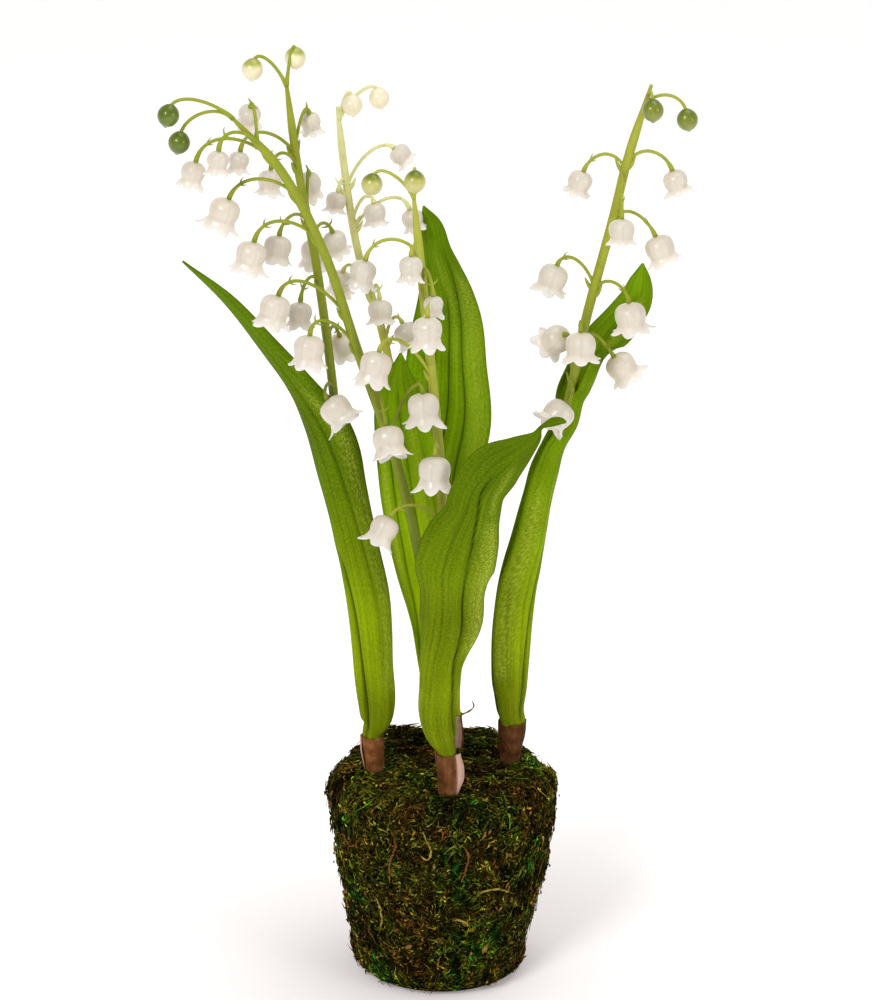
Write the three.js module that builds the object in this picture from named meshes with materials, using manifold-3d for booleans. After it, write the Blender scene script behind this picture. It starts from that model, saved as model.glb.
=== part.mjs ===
// Potted lily of the valley: five flowering pips planted in a tapered block of moss.
// Millimetres, +Z up. The origin is the centre of the block's flat underside and -Y is the front.
// A heading is an angle about +Z in degrees: 0 points to the front, 90 to +X, 180 to the back.

import * as THREE from "three";
import { mergeVertices } from "three/addons/utils/BufferGeometryUtils.js";
import Module from "manifold-3d";

const wasm = await Module();
wasm.setup();

// ---- Driving dimensions ----------------------------------------------------------------------

const GAP = 0.3; // between pieces that touch

const BLOCK_HEIGHT = 65;
const BLOCK_TOP_RADIUS = 34.5;
const BLOCK_BOTTOM_RADIUS = 27.5;
const BLOCK_RIM_ROUNDING = 7;
const MOSS_THICKNESS = 5.5;
const MOSS_RELIEF = 1.1; // height of the tufts above and below the mean surface
const MOSS_CROWN = 0.8; // how far the top swells in the middle

const STEM_FOOT_Z = 26; // where a stem ends inside the core
const SHEATH_FOOT_Z = 52; // where the leaf's roll and its tape begin
const SHEATH_RADIUS = 2.35; // mid-thickness radius of the leaf's roll at its foot
const SHEATH_SPREAD_Z = 67; // where the roll begins to widen, just above the moss
const SHEATH_CURL = 305; // degrees the roll goes round the stem
const LEAF_THICKNESS = 0.7;
const TAPE_THICKNESS = 0.7;
const TAPE_SLACK = 0.15; // room for the flats of the roll's sides
const STEM_FOOT_RADIUS = SHEATH_RADIUS - LEAF_THICKNESS / 2 - GAP;
const TAPE_CLEARANCE = LEAF_THICKNESS / 2 + GAP + TAPE_SLACK; // from the roll's mid-thickness to the tape
const TAPE_OUTER_RADIUS = SHEATH_RADIUS + TAPE_CLEARANCE + TAPE_THICKNESS;

const STEM_TIP_RADIUS = 0.5;
const STEM_TIP_FLARE = 14; // growth of that radius over the stem's whole length
const PEDICEL_RADIUS = 0.6;
const RECEPTACLE_RADIUS = 0.95;
const BUD_RADIUS = 3.3;
const BRACT_LENGTH = 4.2;
const BRACT_RADIUS = 0.9;
const BRACT_RISE = 41; // degrees above level

const MATERIALS = {
  foam: { color: 0x5a4a30, roughness: 0.95, metalness: 0 },
  moss: { color: 0x3d4416, roughness: 1, metalness: 0 },
  tape: { color: 0x7a4f38, roughness: 0.9, metalness: 0 },
  leaf: { color: 0x5f8c14, roughness: 0.5, metalness: 0 },
  stalk: { color: 0x93a32c, roughness: 0.45, metalness: 0 },
  bell: { color: 0xf1ece2, roughness: 0.3, metalness: 0 },
};

// Each pip has a foot on the moss, a lean (sideways travel per millimetre of height), the height
// of its tape, the centreline of its stem above the tape, and the rows of its leaf, bells and buds.
//   stem  [x, y, z]
//   sheathTop  radius of the leaf's roll where it leaves the tape
//   leaf  [x, y, z of the mid-rib, width laid flat, curl in degrees, heading of the outer face]
//   bells [z on the stem, heading, reach, rise of the bell's crown, width, tilt from hanging,
//         and the heading it tilts to, where that isn't the one it hangs at]
//   buds  [z on the stem, heading, reach, rise of the bud's centre]
const PIPS = {
  left: {
    foot: [-20.3, -2],
    lean: [-0.06, 0.03],
    tapeTop: 76.5,
    sheathTop: 2.7,
    stemTopRadius: 1.2,
    stem: [[-25.3, 0.5, 120], [-29.2, 1, 152], [-32.5, 2, 190], [-37, 3, 226], [-42, 3, 255], [-45, 3, 280]],
    leaf: [
      [-19.6, -6, 80.5, 21, 285, 8],
      [-19, -6.5, 85.5, 24, 268, 8],
      [-19.7, -6.8, 99, 25, 250, 8],
      [-21.2, -6.3, 118, 26, 235, 5],
      [-25.3, -6, 138, 23.8, 220, 0],
      [-30, -6.2, 157, 21.8, 195, -8],
      [-35.5, -7, 175, 20, 140, -28],
      [-43, -9, 190, 16, 100, -48],
      [-52.5, -11, 204.5, 12.5, 80, -55],
      [-63.5, -13, 219.5, 8.5, 70, -58],
      [-75, -15, 231.5, 1, 50, -60],
    ],
    bells: [
      [259.5, 154, 8.9, 9.3, 6.1, 16],
      [258.6, 297, 17.7, 3, 5.9, 10],
      [254, 320, 11.8, 2.3, 6.9, 8],
      [240, 178, 10, 9.7, 7.2, 20],
      [237, 305, 10.4, -1.4, 8, 10],
      [232, 138, 8.8, 0.9, 7, 20],
      [218.5, 332, 11.3, -1.9, 7.1, 8],
      [226, 184, 11.1, 2.9, 7.8, 12],
      [201, 159, 9.5, -0.8, 7.4, 25],
      [185, 356, 18.4, 4.7, 9.1, 42, 70],
    ],
    buds: [[279, 270, 9.8, 5.1], [279, 150, 5, 7.4]],
  },
  front: {
    foot: [2.2, -23],
    lean: [-0.04, 0.03],
    tapeTop: 79.6,
    sheathTop: 2.5,
    stemTopRadius: 1.3,
    stem: [[1, -20.5, 128], [0, -17.5, 165], [-2, -16, 189], [-5, -14, 219], [-8, -14, 251]],
    leaf: [
      [0.5, -27.4, 84.1, 19.6, 272, 0],
      [-1, -28, 91.9, 24.6, 262, 0],
      [-0.5, -28.6, 101.8, 23.1, 235, 0],
      [0.4, -30, 111.1, 22, 190, 0],
      [2.8, -31.5, 122.2, 24.5, 150, 0],
      [3.3, -33, 132.7, 23.4, 130, 0],
      [3.8, -34.5, 141.2, 26.8, 105, 0],
      [6.6, -35.5, 152, 24.4, 95, 3],
      [9.3, -36.5, 160.2, 18.6, 88, 6],
      [11.3, -37.2, 167.8, 17.5, 80, 10],
      [16.3, -36.9, 175, 17.2, 70, 14],
      [22.5, -36, 180.1, 10.6, 62, 14],
      [27.2, -34.6, 184.1, 4.2, 55, 10],
      [34.5, -32, 187.8, 1, 50, 0],
    ],
    bells: [
      [233, 277, 15.8, -1.1, 7.6, 12],
      [221, 341, 10.7, 14.7, 6.8, 6],
      [226, 32, 6.3, -3.8, 5.7, 4],
      [201, 357, 15.2, 18.2, 8.5, 3],
      [196, 302, 18.1, 11.1, 9.1, 16],
      [168, 351, 10.4, 7.8, 9.3, 12],
      [151, 292, 16.8, 5, 8.3, 32, 300],
    ],
    buds: [[250.5, 261, 12.2, 3.3], [250, 10, 2, 5.7]],
  },
  right: {
    foot: [21.2, 4],
    lean: [0.05, -0.02],
    tapeTop: 79,
    sheathTop: 3.7,
    stemTopRadius: 1.35,
    stem: [
      [23.3, 3, 105],
      [26, 2, 124],
      [29.8, 0.8, 150],
      [38, -1.4, 184],
      [42, -5, 208],
      [50, -7, 242],
      [54, -7, 260],
      [60.5, -7, 282],
    ],
    leaf: [
      [25.2, 3.8, 83, 21.5, 290, 98],
      [25.9, 3.7, 89, 26.5, 285, 96],
      [26.6, 3.4, 101, 30, 280, 92],
      [28.4, 3, 119, 32, 268, 86],
      [31.5, 2.5, 138, 27, 245, 90],
      [33.2, 1.6, 150.7, 23, 250, 90],
      [34.9, 0.9, 160, 21.5, 250, 90],
      [36.9, -0.2, 169, 17.2, 250, 90],
      [40.7, -0.9, 176.8, 16.9, 230, 94],
      [42.1, 1.9, 183.7, 18.9, 225, 118],
      [45.2, 3.8, 190.6, 18.8, 220, 125],
      [48.6, 9.5, 198.5, 14, 120, 155],
      [54.3, 13, 205.5, 11.9, 75, 174],
      [58.1, 13.2, 211.5, 10.1, 68, 175],
      [59.4, 12.8, 217.5, 6.6, 60, 176],
      [59.9, 12.2, 222.6, 1, 50, 178],
    ],
    bells: [
      [257, 270, 12, -0.8, 7.1, 18],
      [258, 90, 13.5, -1.6, 7.1, 18],
      [253.5, 358, 10, -8.7, 7.5, 8],
      [241, 77, 12.9, -3.6, 8.5, 22],
      [221, 270, 11, 6.5, 8.6, 18],
      [219, 69, 11.2, -1.8, 9.1, 8],
      [190, 222, 4.1, 14, 8.5, 55],
      [201, 0, 11, 8.8, 8.9, 5],
      [203, 103, 10.4, -4.9, 8.9, 35],
      [188, 351, 10, -1.4, 9.1, 50, 300],
    ],
    buds: [[276, 20, 6, -0.1], [276, 105, 13, -5.2]],
  },
  back: {
    foot: [4.5, 16],
    lean: [-0.08, 0.04],
    tapeTop: 76,
    sheathTop: 2.35,
    stemTopRadius: 1.1,
    stem: [[-3, 19, 125], [-13, 24, 173], [-18, 28, 197], [-25, 32, 220], [-29, 35, 245], [-31, 37, 264]],
    leaf: [
      [1.5, 23.5, 90, 21, 225, 178],
      [-0.8, 26, 108, 20, 175, 176],
      [-2.5, 28.5, 128, 23, 140, 174],
      [-1.8, 31, 148, 29, 110, 172],
      [1.8, 34, 168, 31.5, 90, 172],
      [2.4, 35.5, 186.5, 26.4, 78, 170],
      [2.7, 36.5, 196.7, 23, 70, 168],
      [1.8, 37, 206.2, 17.7, 62, 168],
      [0.2, 37, 213.1, 13.7, 56, 168],
      [-1.5, 36.8, 219.8, 10, 52, 168],
      [-3.1, 36.3, 228, 6.8, 49, 168],
      [-5.3, 35.4, 233.6, 1, 45, 168],
    ],
    bells: [
      [240, 90, 14.2, 12, 6.4, 45],
      [238, 304, 3.5, 0.9, 6.2, 14],
      [229, 59, 7.7, 7.3, 6.7, 6],
      [227, 90, 17, 6.2, 6.5, 16],
      [206, 15, 8.9, 2.6, 7.4, 10],
      [206, 236, 10.8, 6.9, 7.4, 14],
      [193, 70, 5.8, 6.8, 7.7, 26],
    ],
    buds: [[260, 90, 4, 4.7], [260, 110, 12.8, 5.7]],
  },
  middle: {
    foot: [1.5, -2],
    lean: [-0.06, -0.04],
    tapeTop: 76,
    sheathTop: 2.5,
    stemTopRadius: 1.3,
    stem: [[-3, -5.5, 116], [-12.4, -11, 165], [-24.2, -17, 204], [-34, -23, 237], [-46, -29, 263], [-59, -33, 279]],
    leaf: [
      [0.5, 2.4, 87, 19, 250, 180],
      [-0.5, 3.5, 100, 22, 205, 180],
      [-1, 4, 115, 23, 160, 180],
      [-3.8, 4, 132, 24.5, 130, 180],
      [-6.8, 4, 150, 24.5, 110, 180],
      [-9.8, 4, 168, 21, 90, 180],
      [-12.3, 3, 184, 15, 70, 180],
      [-12, 2, 198, 1, 50, 180],
    ],
    bells: [
      [266, 273, 21.7, -0.4, 6.9, 14],
      [267, 303, 16.6, 4, 6.1, 6],
      [271, 195, 8.3, 8.5, 6.4, 30],
      [254, 276, 19.6, 0.1, 8.7, 20],
      [240, 285, 19.1, 1.3, 8.6, 14],
      [216, 282, 19.9, 7.5, 8.8, 16],
      [205, 303, 16.1, 7.3, 8.8, 5],
      [191.7, 23, 11, -7.3, 9.1, 25],
      [176, 42, 15, 17.9, 9.1, 4],
    ],
    buds: [[279, 270, 18, 0.8], [278.6, 261, 15.8, -7.4]],
  },
};

// ---- Helpers ---------------------------------------------------------------------------------

function seededRandom(seed) {
  let state = seed;
  return () => {
    state = (Math.imul(state, 1664525) + 1013904223) >>> 0;
    return state / 2 ** 32;
  };
}

function headingVector(degrees) {
  const angle = THREE.MathUtils.degToRad(degrees);
  return new THREE.Vector3(Math.sin(angle), -Math.cos(angle), 0);
}

// Keeps only shared positions and drops the triangles that collapse at a pole.
function closedBody(geometry) {
  geometry.deleteAttribute("normal");
  geometry.deleteAttribute("uv");
  const merged = mergeVertices(geometry, 1e-4);
  const index = merged.getIndex().array;
  const kept = [];
  for (let i = 0; i < index.length; i += 3) {
    const [a, b, c] = index.slice(i, i + 3);
    if (a !== b && b !== c && c !== a) kept.push(a, b, c);
  }
  merged.setIndex(kept);
  return merged;
}

function toSolid(geometry) {
  const body = closedBody(geometry);
  const mesh = new wasm.Mesh({
    numProp: 3,
    vertProperties: new Float32Array(body.getAttribute("position").array),
    triVerts: new Uint32Array(body.getIndex().array),
  });
  mesh.merge();
  return new wasm.Manifold(mesh);
}

function fromSolid(solid) {
  const mesh = solid.simplify(0.01).getMesh();
  const geometry = new THREE.BufferGeometry();
  geometry.setAttribute("position", new THREE.BufferAttribute(mesh.vertProperties, 3));
  geometry.setIndex(new THREE.BufferAttribute(mesh.triVerts, 1));
  return geometry;
}

function fuse(geometries) {
  const [first, ...rest] = geometries.map(toSolid);
  return fromSolid(rest.reduce((whole, solid) => whole.add(solid), first));
}

function cut(geometry, tools) {
  return fromSolid(tools.map(toSolid).reduce((whole, tool) => whole.subtract(tool), toSolid(geometry)));
}

// A body of revolution about +Z; profile is [radius, z] pairs, listed from the bottom up outside.
function revolve(profile, sides) {
  const points = profile.map(([radius, z]) => new THREE.Vector2(radius, z));
  return new THREE.LatheGeometry(points, sides).rotateX(Math.PI / 2);
}

// A capped cylinder bent along a curve, with its radius given by a function of 0 (root) to 1 (tip).
function taperedTube(curve, radiusAt, sides, segments) {
  const tube = new THREE.CylinderGeometry(1, 1, 1, sides, segments);
  const frames = curve.computeFrenetFrames(segments);
  const position = tube.getAttribute("position");
  for (let i = 0; i < position.count; i += 1) {
    const along = position.getY(i) + 0.5;
    const step = Math.round(along * segments);
    const radius = radiusAt(along);
    const point = curve.getPointAt(along);
    point.addScaledVector(frames.normals[step], position.getX(i) * radius);
    point.addScaledVector(frames.binormals[step], -position.getZ(i) * radius);
    position.setXYZ(i, point.x, point.y, point.z);
  }
  return tube;
}

function pieceMesh(name, geometry, material) {
  const mesh = new THREE.Mesh(geometry, new THREE.MeshStandardMaterial(MATERIALS[material]));
  mesh.name = name;
  return mesh;
}

// ---- Block: foam core and moss ---------------------------------------------------------------

function blockRadius(z) {
  return THREE.MathUtils.lerp(BLOCK_BOTTOM_RADIUS, BLOCK_TOP_RADIUS, z / BLOCK_HEIGHT);
}

// The pip's straight foot: the point of its axis at height z.
function axisPoint(pip, z) {
  const above = z - BLOCK_HEIGHT;
  return new THREE.Vector3(pip.foot[0] + pip.lean[0] * above, pip.foot[1] + pip.lean[1] * above, z);
}

// Stands a body of revolution about +Z on the pip's axis, its z = 0 at height z.
function alongAxis(geometry, pip, z) {
  const direction = new THREE.Vector3(pip.lean[0], pip.lean[1], 1).normalize();
  const turn = new THREE.Quaternion().setFromUnitVectors(new THREE.Vector3(0, 0, 1), direction);
  const foot = axisPoint(pip, z);
  return geometry.applyQuaternion(turn).translate(foot.x, foot.y, foot.z);
}

// A stepped hole: narrow for the stem, wide for the leaf's roll and its tape.
function plantingHole(pip) {
  const sides = 10;
  const roundness = Math.cos(Math.PI / sides);
  const narrow = (STEM_FOOT_RADIUS + GAP) / roundness;
  const wide = (TAPE_OUTER_RADIUS + GAP) / roundness;
  const step = SHEATH_FOOT_Z - GAP - STEM_FOOT_Z;
  const clearOfMoss = 12;
  const top = BLOCK_HEIGHT + clearOfMoss - STEM_FOOT_Z;
  const hole = revolve([[0, -GAP], [narrow, -GAP], [narrow, step], [wide, step], [wide, top], [0, top]], sides);
  return alongAxis(hole, pip, STEM_FOOT_Z);
}

function foamCore() {
  const top = BLOCK_HEIGHT - MOSS_THICKNESS - GAP;
  const inset = MOSS_THICKNESS + GAP;
  const body = revolve([[0, 0], [blockRadius(0) - inset, 0], [blockRadius(top) - inset, top], [0, top]], 28);
  return cut(body, Object.values(PIPS).map(plantingHole));
}

// A sum of seeded waves round and up the block, between about -1 and 1.
function makeRelief() {
  const random = seededRandom(29);
  const waves = Array.from({ length: 9 }, (_, i) => ({
    turns: 3 + i,
    rise: 0.25 * (random() - 0.5),
    phase: 2 * Math.PI * random(),
  }));
  return (angle, along) =>
    waves.reduce((sum, wave) => sum + Math.sin(wave.turns * angle + wave.rise * along + wave.phase), 0) / 3.5;
}

function mossWrap() {
  const rings = 6;
  const shoulder = BLOCK_HEIGHT - BLOCK_RIM_ROUNDING;
  const footHeight = 5;
  const footInset = 2.5;
  const profile = [[0, 0], [blockRadius(0) - footInset, 0]];
  for (let i = 0; i <= rings; i += 1) {
    const z = THREE.MathUtils.lerp(footHeight, shoulder, i / rings);
    profile.push([blockRadius(z), z]);
  }
  for (const degrees of [35, 65, 90]) {
    const angle = THREE.MathUtils.degToRad(degrees);
    const radius = blockRadius(shoulder) - BLOCK_RIM_ROUNDING * (1 - Math.cos(angle));
    profile.push([radius, shoulder + BLOCK_RIM_ROUNDING * Math.sin(angle)]);
  }
  profile.push([BLOCK_TOP_RADIUS * 0.4, BLOCK_HEIGHT + MOSS_CROWN * 0.75], [0, BLOCK_HEIGHT + MOSS_CROWN]);
  const block = closedBody(revolve(profile, 32));
  const relief = makeRelief();
  const position = block.getAttribute("position");
  for (let i = 0; i < position.count; i += 1) {
    const point = new THREE.Vector3().fromBufferAttribute(position, i);
    const radius = Math.hypot(point.x, point.y);
    const bump = MOSS_RELIEF * relief(Math.atan2(point.y, point.x), point.z + radius);
    const outward = Math.min(1, point.z / (2 * footHeight));
    const upward = Math.max(0, (point.z - shoulder) / BLOCK_RIM_ROUNDING);
    const onTheSide = radius > BLOCK_TOP_RADIUS * 0.6;
    const scale = onTheSide ? 1 + (bump * outward * (1 - upward)) / radius : 1;
    position.setXYZ(i, point.x * scale, point.y * scale, point.z + bump * upward * 0.8);
  }
  const inner = BLOCK_HEIGHT - MOSS_THICKNESS;
  const below = -1;
  const room = revolve(
    [
      [0, below],
      [blockRadius(below) - MOSS_THICKNESS, below],
      [blockRadius(inner) - MOSS_THICKNESS, inner],
      [0, inner],
    ],
    28,
  );
  return cut(block, [room, ...Object.values(PIPS).map(plantingHole)]);
}

// ---- Pips: tape, leaf, stalk, bells ----------------------------------------------------------

// The tape hugs the leaf's roll: straight in the moss, then widening with it.
function stemTape(pip) {
  const spread = SHEATH_SPREAD_Z - SHEATH_FOOT_Z;
  const length = pip.tapeTop - SHEATH_FOOT_Z;
  const foot = SHEATH_RADIUS + TAPE_CLEARANCE;
  const top = pip.sheathTop + TAPE_CLEARANCE;
  const ring = [
    [foot, 0],
    [foot + TAPE_THICKNESS, 0],
    [foot + TAPE_THICKNESS, spread],
    [top + TAPE_THICKNESS, length],
    [top, length],
    [foot, spread],
    [foot, 0],
  ];
  return closedBody(alongAxis(revolve(ring, 10), pip, SHEATH_FOOT_Z));
}

// A row of the leaf: where its mid-rib is, how wide the blade is laid flat, how far it curls round
// and which way its outer face looks.
function leafRow(x, y, z, width, curl, heading) {
  return { rib: new THREE.Vector3(x, y, z), width, curl: THREE.MathUtils.degToRad(curl), heading };
}

// The leaf's foot is rolled round the stem inside the tape; the rows above open it out.
function leafRows(pip) {
  const heading = pip.leaf[0][5];
  const roll = [
    [SHEATH_FOOT_Z + 1, SHEATH_RADIUS],
    [SHEATH_SPREAD_Z, SHEATH_RADIUS],
    [pip.tapeTop + 1.2, pip.sheathTop],
  ];
  const foot = roll.map(([z, radius]) => {
    const rib = axisPoint(pip, z).addScaledVector(headingVector(heading), radius);
    return leafRow(rib.x, rib.y, rib.z, radius * THREE.MathUtils.degToRad(SHEATH_CURL), SHEATH_CURL, heading);
  });
  return [...foot, ...pip.leaf.map((row) => leafRow(...row))];
}

function leafBlade(pip) {
  const rows = leafRows(pip);
  const across = 6;
  const along = rows.length - 1;
  const ribCurve = new THREE.CatmullRomCurve3(rows.map((row) => row.rib), false, "centripetal");
  const grid = new THREE.PlaneGeometry(1, 1, across, along);
  const gridPosition = grid.getAttribute("position");
  const count = gridPosition.count;
  const points = new Float32Array(count * 6);
  for (let i = 0; i < count; i += 1) {
    const row = Math.round((gridPosition.getY(i) + 0.5) * along);
    const { rib, width, curl, heading } = rows[row];
    const growth = ribCurve.getTangent(row / along);
    const radius = width / curl;
    const outward = headingVector(heading);
    outward.addScaledVector(growth, -outward.dot(growth)).normalize();
    const sideways = new THREE.Vector3().crossVectors(growth, outward);
    const angle = gridPosition.getX(i) * curl;
    for (const [face, offset] of [[0, LEAF_THICKNESS / 2], [1, -LEAF_THICKNESS / 2]]) {
      const point = rib.clone();
      point.addScaledVector(sideways, (radius + offset) * Math.sin(angle));
      point.addScaledVector(outward, (radius + offset) * Math.cos(angle) - radius);
      point.toArray(points, (face * count + i) * 3);
    }
  }
  const index = [];
  const gridIndex = grid.getIndex().array;
  for (let i = 0; i < gridIndex.length; i += 3) {
    const [a, b, c] = gridIndex.slice(i, i + 3);
    index.push(a, b, c, count + a, count + c, count + b);
  }
  for (const [a, b] of rimEdges(across, along)) index.push(a, b, count + a, b, count + b, count + a);
  const blade = new THREE.BufferGeometry();
  blade.setAttribute("position", new THREE.BufferAttribute(points, 3));
  blade.setIndex(index);
  return blade;
}

// The edges round a grid of across by along squares, in order.
function rimEdges(across, along) {
  const row = across + 1;
  const last = row * along;
  const corners = [];
  for (let i = 0; i < across; i += 1) corners.push(i);
  for (let j = 0; j < along; j += 1) corners.push(j * row + across);
  for (let i = across; i > 0; i -= 1) corners.push(last + i);
  for (let j = along; j > 0; j -= 1) corners.push(j * row);
  return corners.map((corner, i) => [corner, corners[(i + 1) % corners.length]]);
}

function stemCurve(pip) {
  const foot = [STEM_FOOT_Z, 45, 62, pip.tapeTop, pip.tapeTop + 8].map((z) => axisPoint(pip, z));
  return new THREE.CatmullRomCurve3([...foot, ...pip.stem.map((p) => new THREE.Vector3(...p))], false, "centripetal");
}

// The point of a rising curve at height z.
function pointAtHeight(curve, z) {
  let low = 0;
  let high = 1;
  for (let i = 0; i < 24; i += 1) {
    const middle = (low + high) / 2;
    if (curve.getPoint(middle).z < z) low = middle;
    else high = middle;
  }
  return curve.getPoint(low);
}

// Where a bell hangs: its root on the stem, its crown, and the way its mouth looks.
function bellPlace(stem, [z, heading, reach, rise, width, tilt, tiltHeading = heading]) {
  const root = pointAtHeight(stem, z);
  const outward = headingVector(heading);
  const crown = root.clone().addScaledVector(outward, reach);
  crown.z = z + rise;
  const angle = THREE.MathUtils.degToRad(tilt);
  const axis = headingVector(tiltHeading).multiplyScalar(Math.sin(angle));
  axis.z = -Math.cos(angle);
  return { root, outward, crown, axis, width, reach };
}

function pedicel({ root, outward, crown, axis, reach }) {
  const end = crown.clone().addScaledVector(axis, -GAP);
  const leave = root.clone().addScaledVector(outward, reach * 0.3);
  leave.z += Math.max(end.z - root.z, 0) * 0.35 + 7.5;
  const arrive = end.clone().addScaledVector(axis, -Math.max(reach * 0.5, 3.5));
  const curve = new THREE.CubicBezierCurve3(root, leave, arrive, end);
  const flare = (t) => (t > 0.95 ? RECEPTACLE_RADIUS : PEDICEL_RADIUS);
  return taperedTube(curve, flare, 4, 5);
}

function bract({ root, outward }) {
  const cone = new THREE.ConeGeometry(BRACT_RADIUS, BRACT_LENGTH, 3).translate(0, BRACT_LENGTH / 2, 0);
  const angle = THREE.MathUtils.degToRad(BRACT_RISE);
  const direction = outward.clone().multiplyScalar(Math.cos(angle));
  direction.z = Math.sin(angle);
  cone.applyQuaternion(new THREE.Quaternion().setFromUnitVectors(new THREE.Vector3(0, 1, 0), direction));
  return cone.translate(root.x, root.y, root.z - 0.8);
}

function bud(stem, [z, heading, reach, rise]) {
  const root = pointAtHeight(stem, z);
  const outward = headingVector(heading);
  const centre = root.clone().addScaledVector(outward, reach);
  centre.z = z + rise;
  const leave = root.clone().addScaledVector(outward, reach * 0.3);
  leave.z += Math.max(rise, 0) * 0.5 + 5;
  const arrive = centre.clone();
  arrive.z += BUD_RADIUS * 2.5;
  const stalk = taperedTube(new THREE.CubicBezierCurve3(root, leave, arrive, centre), () => PEDICEL_RADIUS, 4, 5);
  const ball = new THREE.SphereGeometry(BUD_RADIUS, 8, 5).rotateX(Math.PI / 2).scale(1, 1, 1.1);
  return [stalk, ball.rotateZ(1).translate(centre.x, centre.y, centre.z)];
}

function flowerStalk(pip, stem, places) {
  const radiusAt = (t) =>
    Math.min(THREE.MathUtils.lerp(STEM_FOOT_RADIUS, pip.stemTopRadius, t), STEM_TIP_RADIUS + (1 - t) * STEM_TIP_FLARE);
  const parts = [taperedTube(stem, radiusAt, 6, 18)];
  for (const place of places) parts.push(pedicel(place), bract(place));
  for (const row of pip.buds) parts.push(...bud(stem, row));
  return fuse(parts);
}

// A hollow bell hanging along -Z from its crown at the origin, its rim drawn out in six lobes.
function bell(width, spin) {
  const lobes = 6;
  const wall = 0.075;
  const large = THREE.MathUtils.clamp((width - 7) / 3, 0, 1);
  const lobeReach = THREE.MathUtils.lerp(0.12, 0.18, large);
  const lobeDrop = THREE.MathUtils.lerp(0.2, 0.3, large);
  const throat = THREE.MathUtils.lerp(0.38, 0.44, large);
  const throatDrop = THREE.MathUtils.lerp(0.74, 0.66, large);
  const rim = [throat + 0.02, -throatDrop - 0.1];
  const outside = [[0, 0], [0.27, -0.05], [0.46, -0.22], [0.5, -0.44], [throat, -throatDrop]];
  const inside = [[throat - wall, -throatDrop], [0, -0.16]];
  const profile = [...inside.reverse(), [rim[0] - wall, rim[1]], rim, ...outside.reverse()];
  const body = closedBody(revolve(profile, lobes * 2));
  const position = body.getAttribute("position");
  for (let i = 0; i < position.count; i += 1) {
    const point = new THREE.Vector3().fromBufferAttribute(position, i);
    const turn = Math.round((Math.atan2(point.y, point.x) / Math.PI) * lobes);
    if (point.z < -throatDrop - 0.05 && turn % 2 === 0) {
      const radius = Math.hypot(point.x, point.y);
      const stretch = (radius + lobeReach) / radius;
      point.set(point.x * stretch, point.y * stretch, point.z - lobeDrop);
    }
    position.setXYZ(i, point.x, point.y, point.z);
  }
  return body.rotateZ(spin).scale(width, width, width);
}

function hangBell(name, place, spin) {
  const mesh = pieceMesh(name, bell(place.width, spin), "bell");
  mesh.position.copy(place.crown);
  mesh.quaternion.setFromUnitVectors(new THREE.Vector3(0, 0, -1), place.axis);
  return mesh;
}

// ---- Assembly --------------------------------------------------------------------------------

const plant = new THREE.Group();
plant.add(pieceMesh("foam_core", foamCore(), "foam"));
plant.add(pieceMesh("moss_wrap", mossWrap(), "moss"));

const random = seededRandom(7);
for (const [name, pip] of Object.entries(PIPS)) {
  const stem = stemCurve(pip);
  const places = pip.bells.map((row) => bellPlace(stem, row));
  plant.add(pieceMesh(`tape_${name}`, stemTape(pip), "tape"));
  plant.add(pieceMesh(`leaf_${name}`, leafBlade(pip), "leaf"));
  plant.add(pieceMesh(`stalk_${name}`, flowerStalk(pip, stem, places), "stalk"));
  places.forEach((place, i) => {
    plant.add(hangBell(`bell_${name}_${i + 1}`, place, random() * Math.PI));
  });
}

export default plant;
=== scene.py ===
"""Looks of a potted lily of the valley: five artificial pips planted in a moss-covered block.

Shapes are worked out in millimetres and brought to metres as each piece is finished.
+Z is up and -Y is the front. A heading is an angle about +Z in degrees: 0 points to the front,
90 to +X and 180 to the back.
"""

import math

import bmesh
import bpy
import numpy as np
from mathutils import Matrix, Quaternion, Vector, noise


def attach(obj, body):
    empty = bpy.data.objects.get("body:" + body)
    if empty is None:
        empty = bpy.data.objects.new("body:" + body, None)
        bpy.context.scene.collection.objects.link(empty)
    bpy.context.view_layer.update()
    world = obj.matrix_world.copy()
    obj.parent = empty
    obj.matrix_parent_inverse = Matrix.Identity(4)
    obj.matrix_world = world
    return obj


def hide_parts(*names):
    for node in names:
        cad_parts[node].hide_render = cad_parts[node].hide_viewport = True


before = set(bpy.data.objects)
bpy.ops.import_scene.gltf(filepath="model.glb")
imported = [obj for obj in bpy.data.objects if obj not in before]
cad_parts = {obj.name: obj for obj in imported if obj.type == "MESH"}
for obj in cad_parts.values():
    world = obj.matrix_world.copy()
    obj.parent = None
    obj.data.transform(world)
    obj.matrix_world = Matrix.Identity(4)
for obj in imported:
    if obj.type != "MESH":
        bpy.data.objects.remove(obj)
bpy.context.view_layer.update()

# ---- Driving dimensions, in millimetres ------------------------------------------------------

MM = 0.001

BLOCK_HEIGHT = 65
BLOCK_TOP_RADIUS = 34.5
BLOCK_BOTTOM_RADIUS = 27.5
BLOCK_RIM_ROUNDING = 7
MOSS_THICKNESS = 5.5

STEM_FOOT_Z = 26
SHEATH_FOOT_Z = 52
SHEATH_SPREAD_Z = 67
SHEATH_CURL = 305
STEM_FOOT_RADIUS = 1.7
STEM_TIP_RADIUS = 0.5
TAPE_WALL = 0.28
TAPE_OVERLAP = 0.15
TAPE_TURN = 400
TAPE_FLAPS = {"front": (86, 2.0), "left": (-72, 0.8), "back": (35, 0.5)}
USUAL_FLAP = (150, 0.5)
LEAF_THICKNESS = 0.62
LEAF_EDGE_THICKNESS = 0.3
PEDICEL_RADIUS = 0.5
RECEPTACLE_RADIUS = 0.78
BUD_RADIUS = 3.15
BRACT_LENGTH = 4.2

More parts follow.
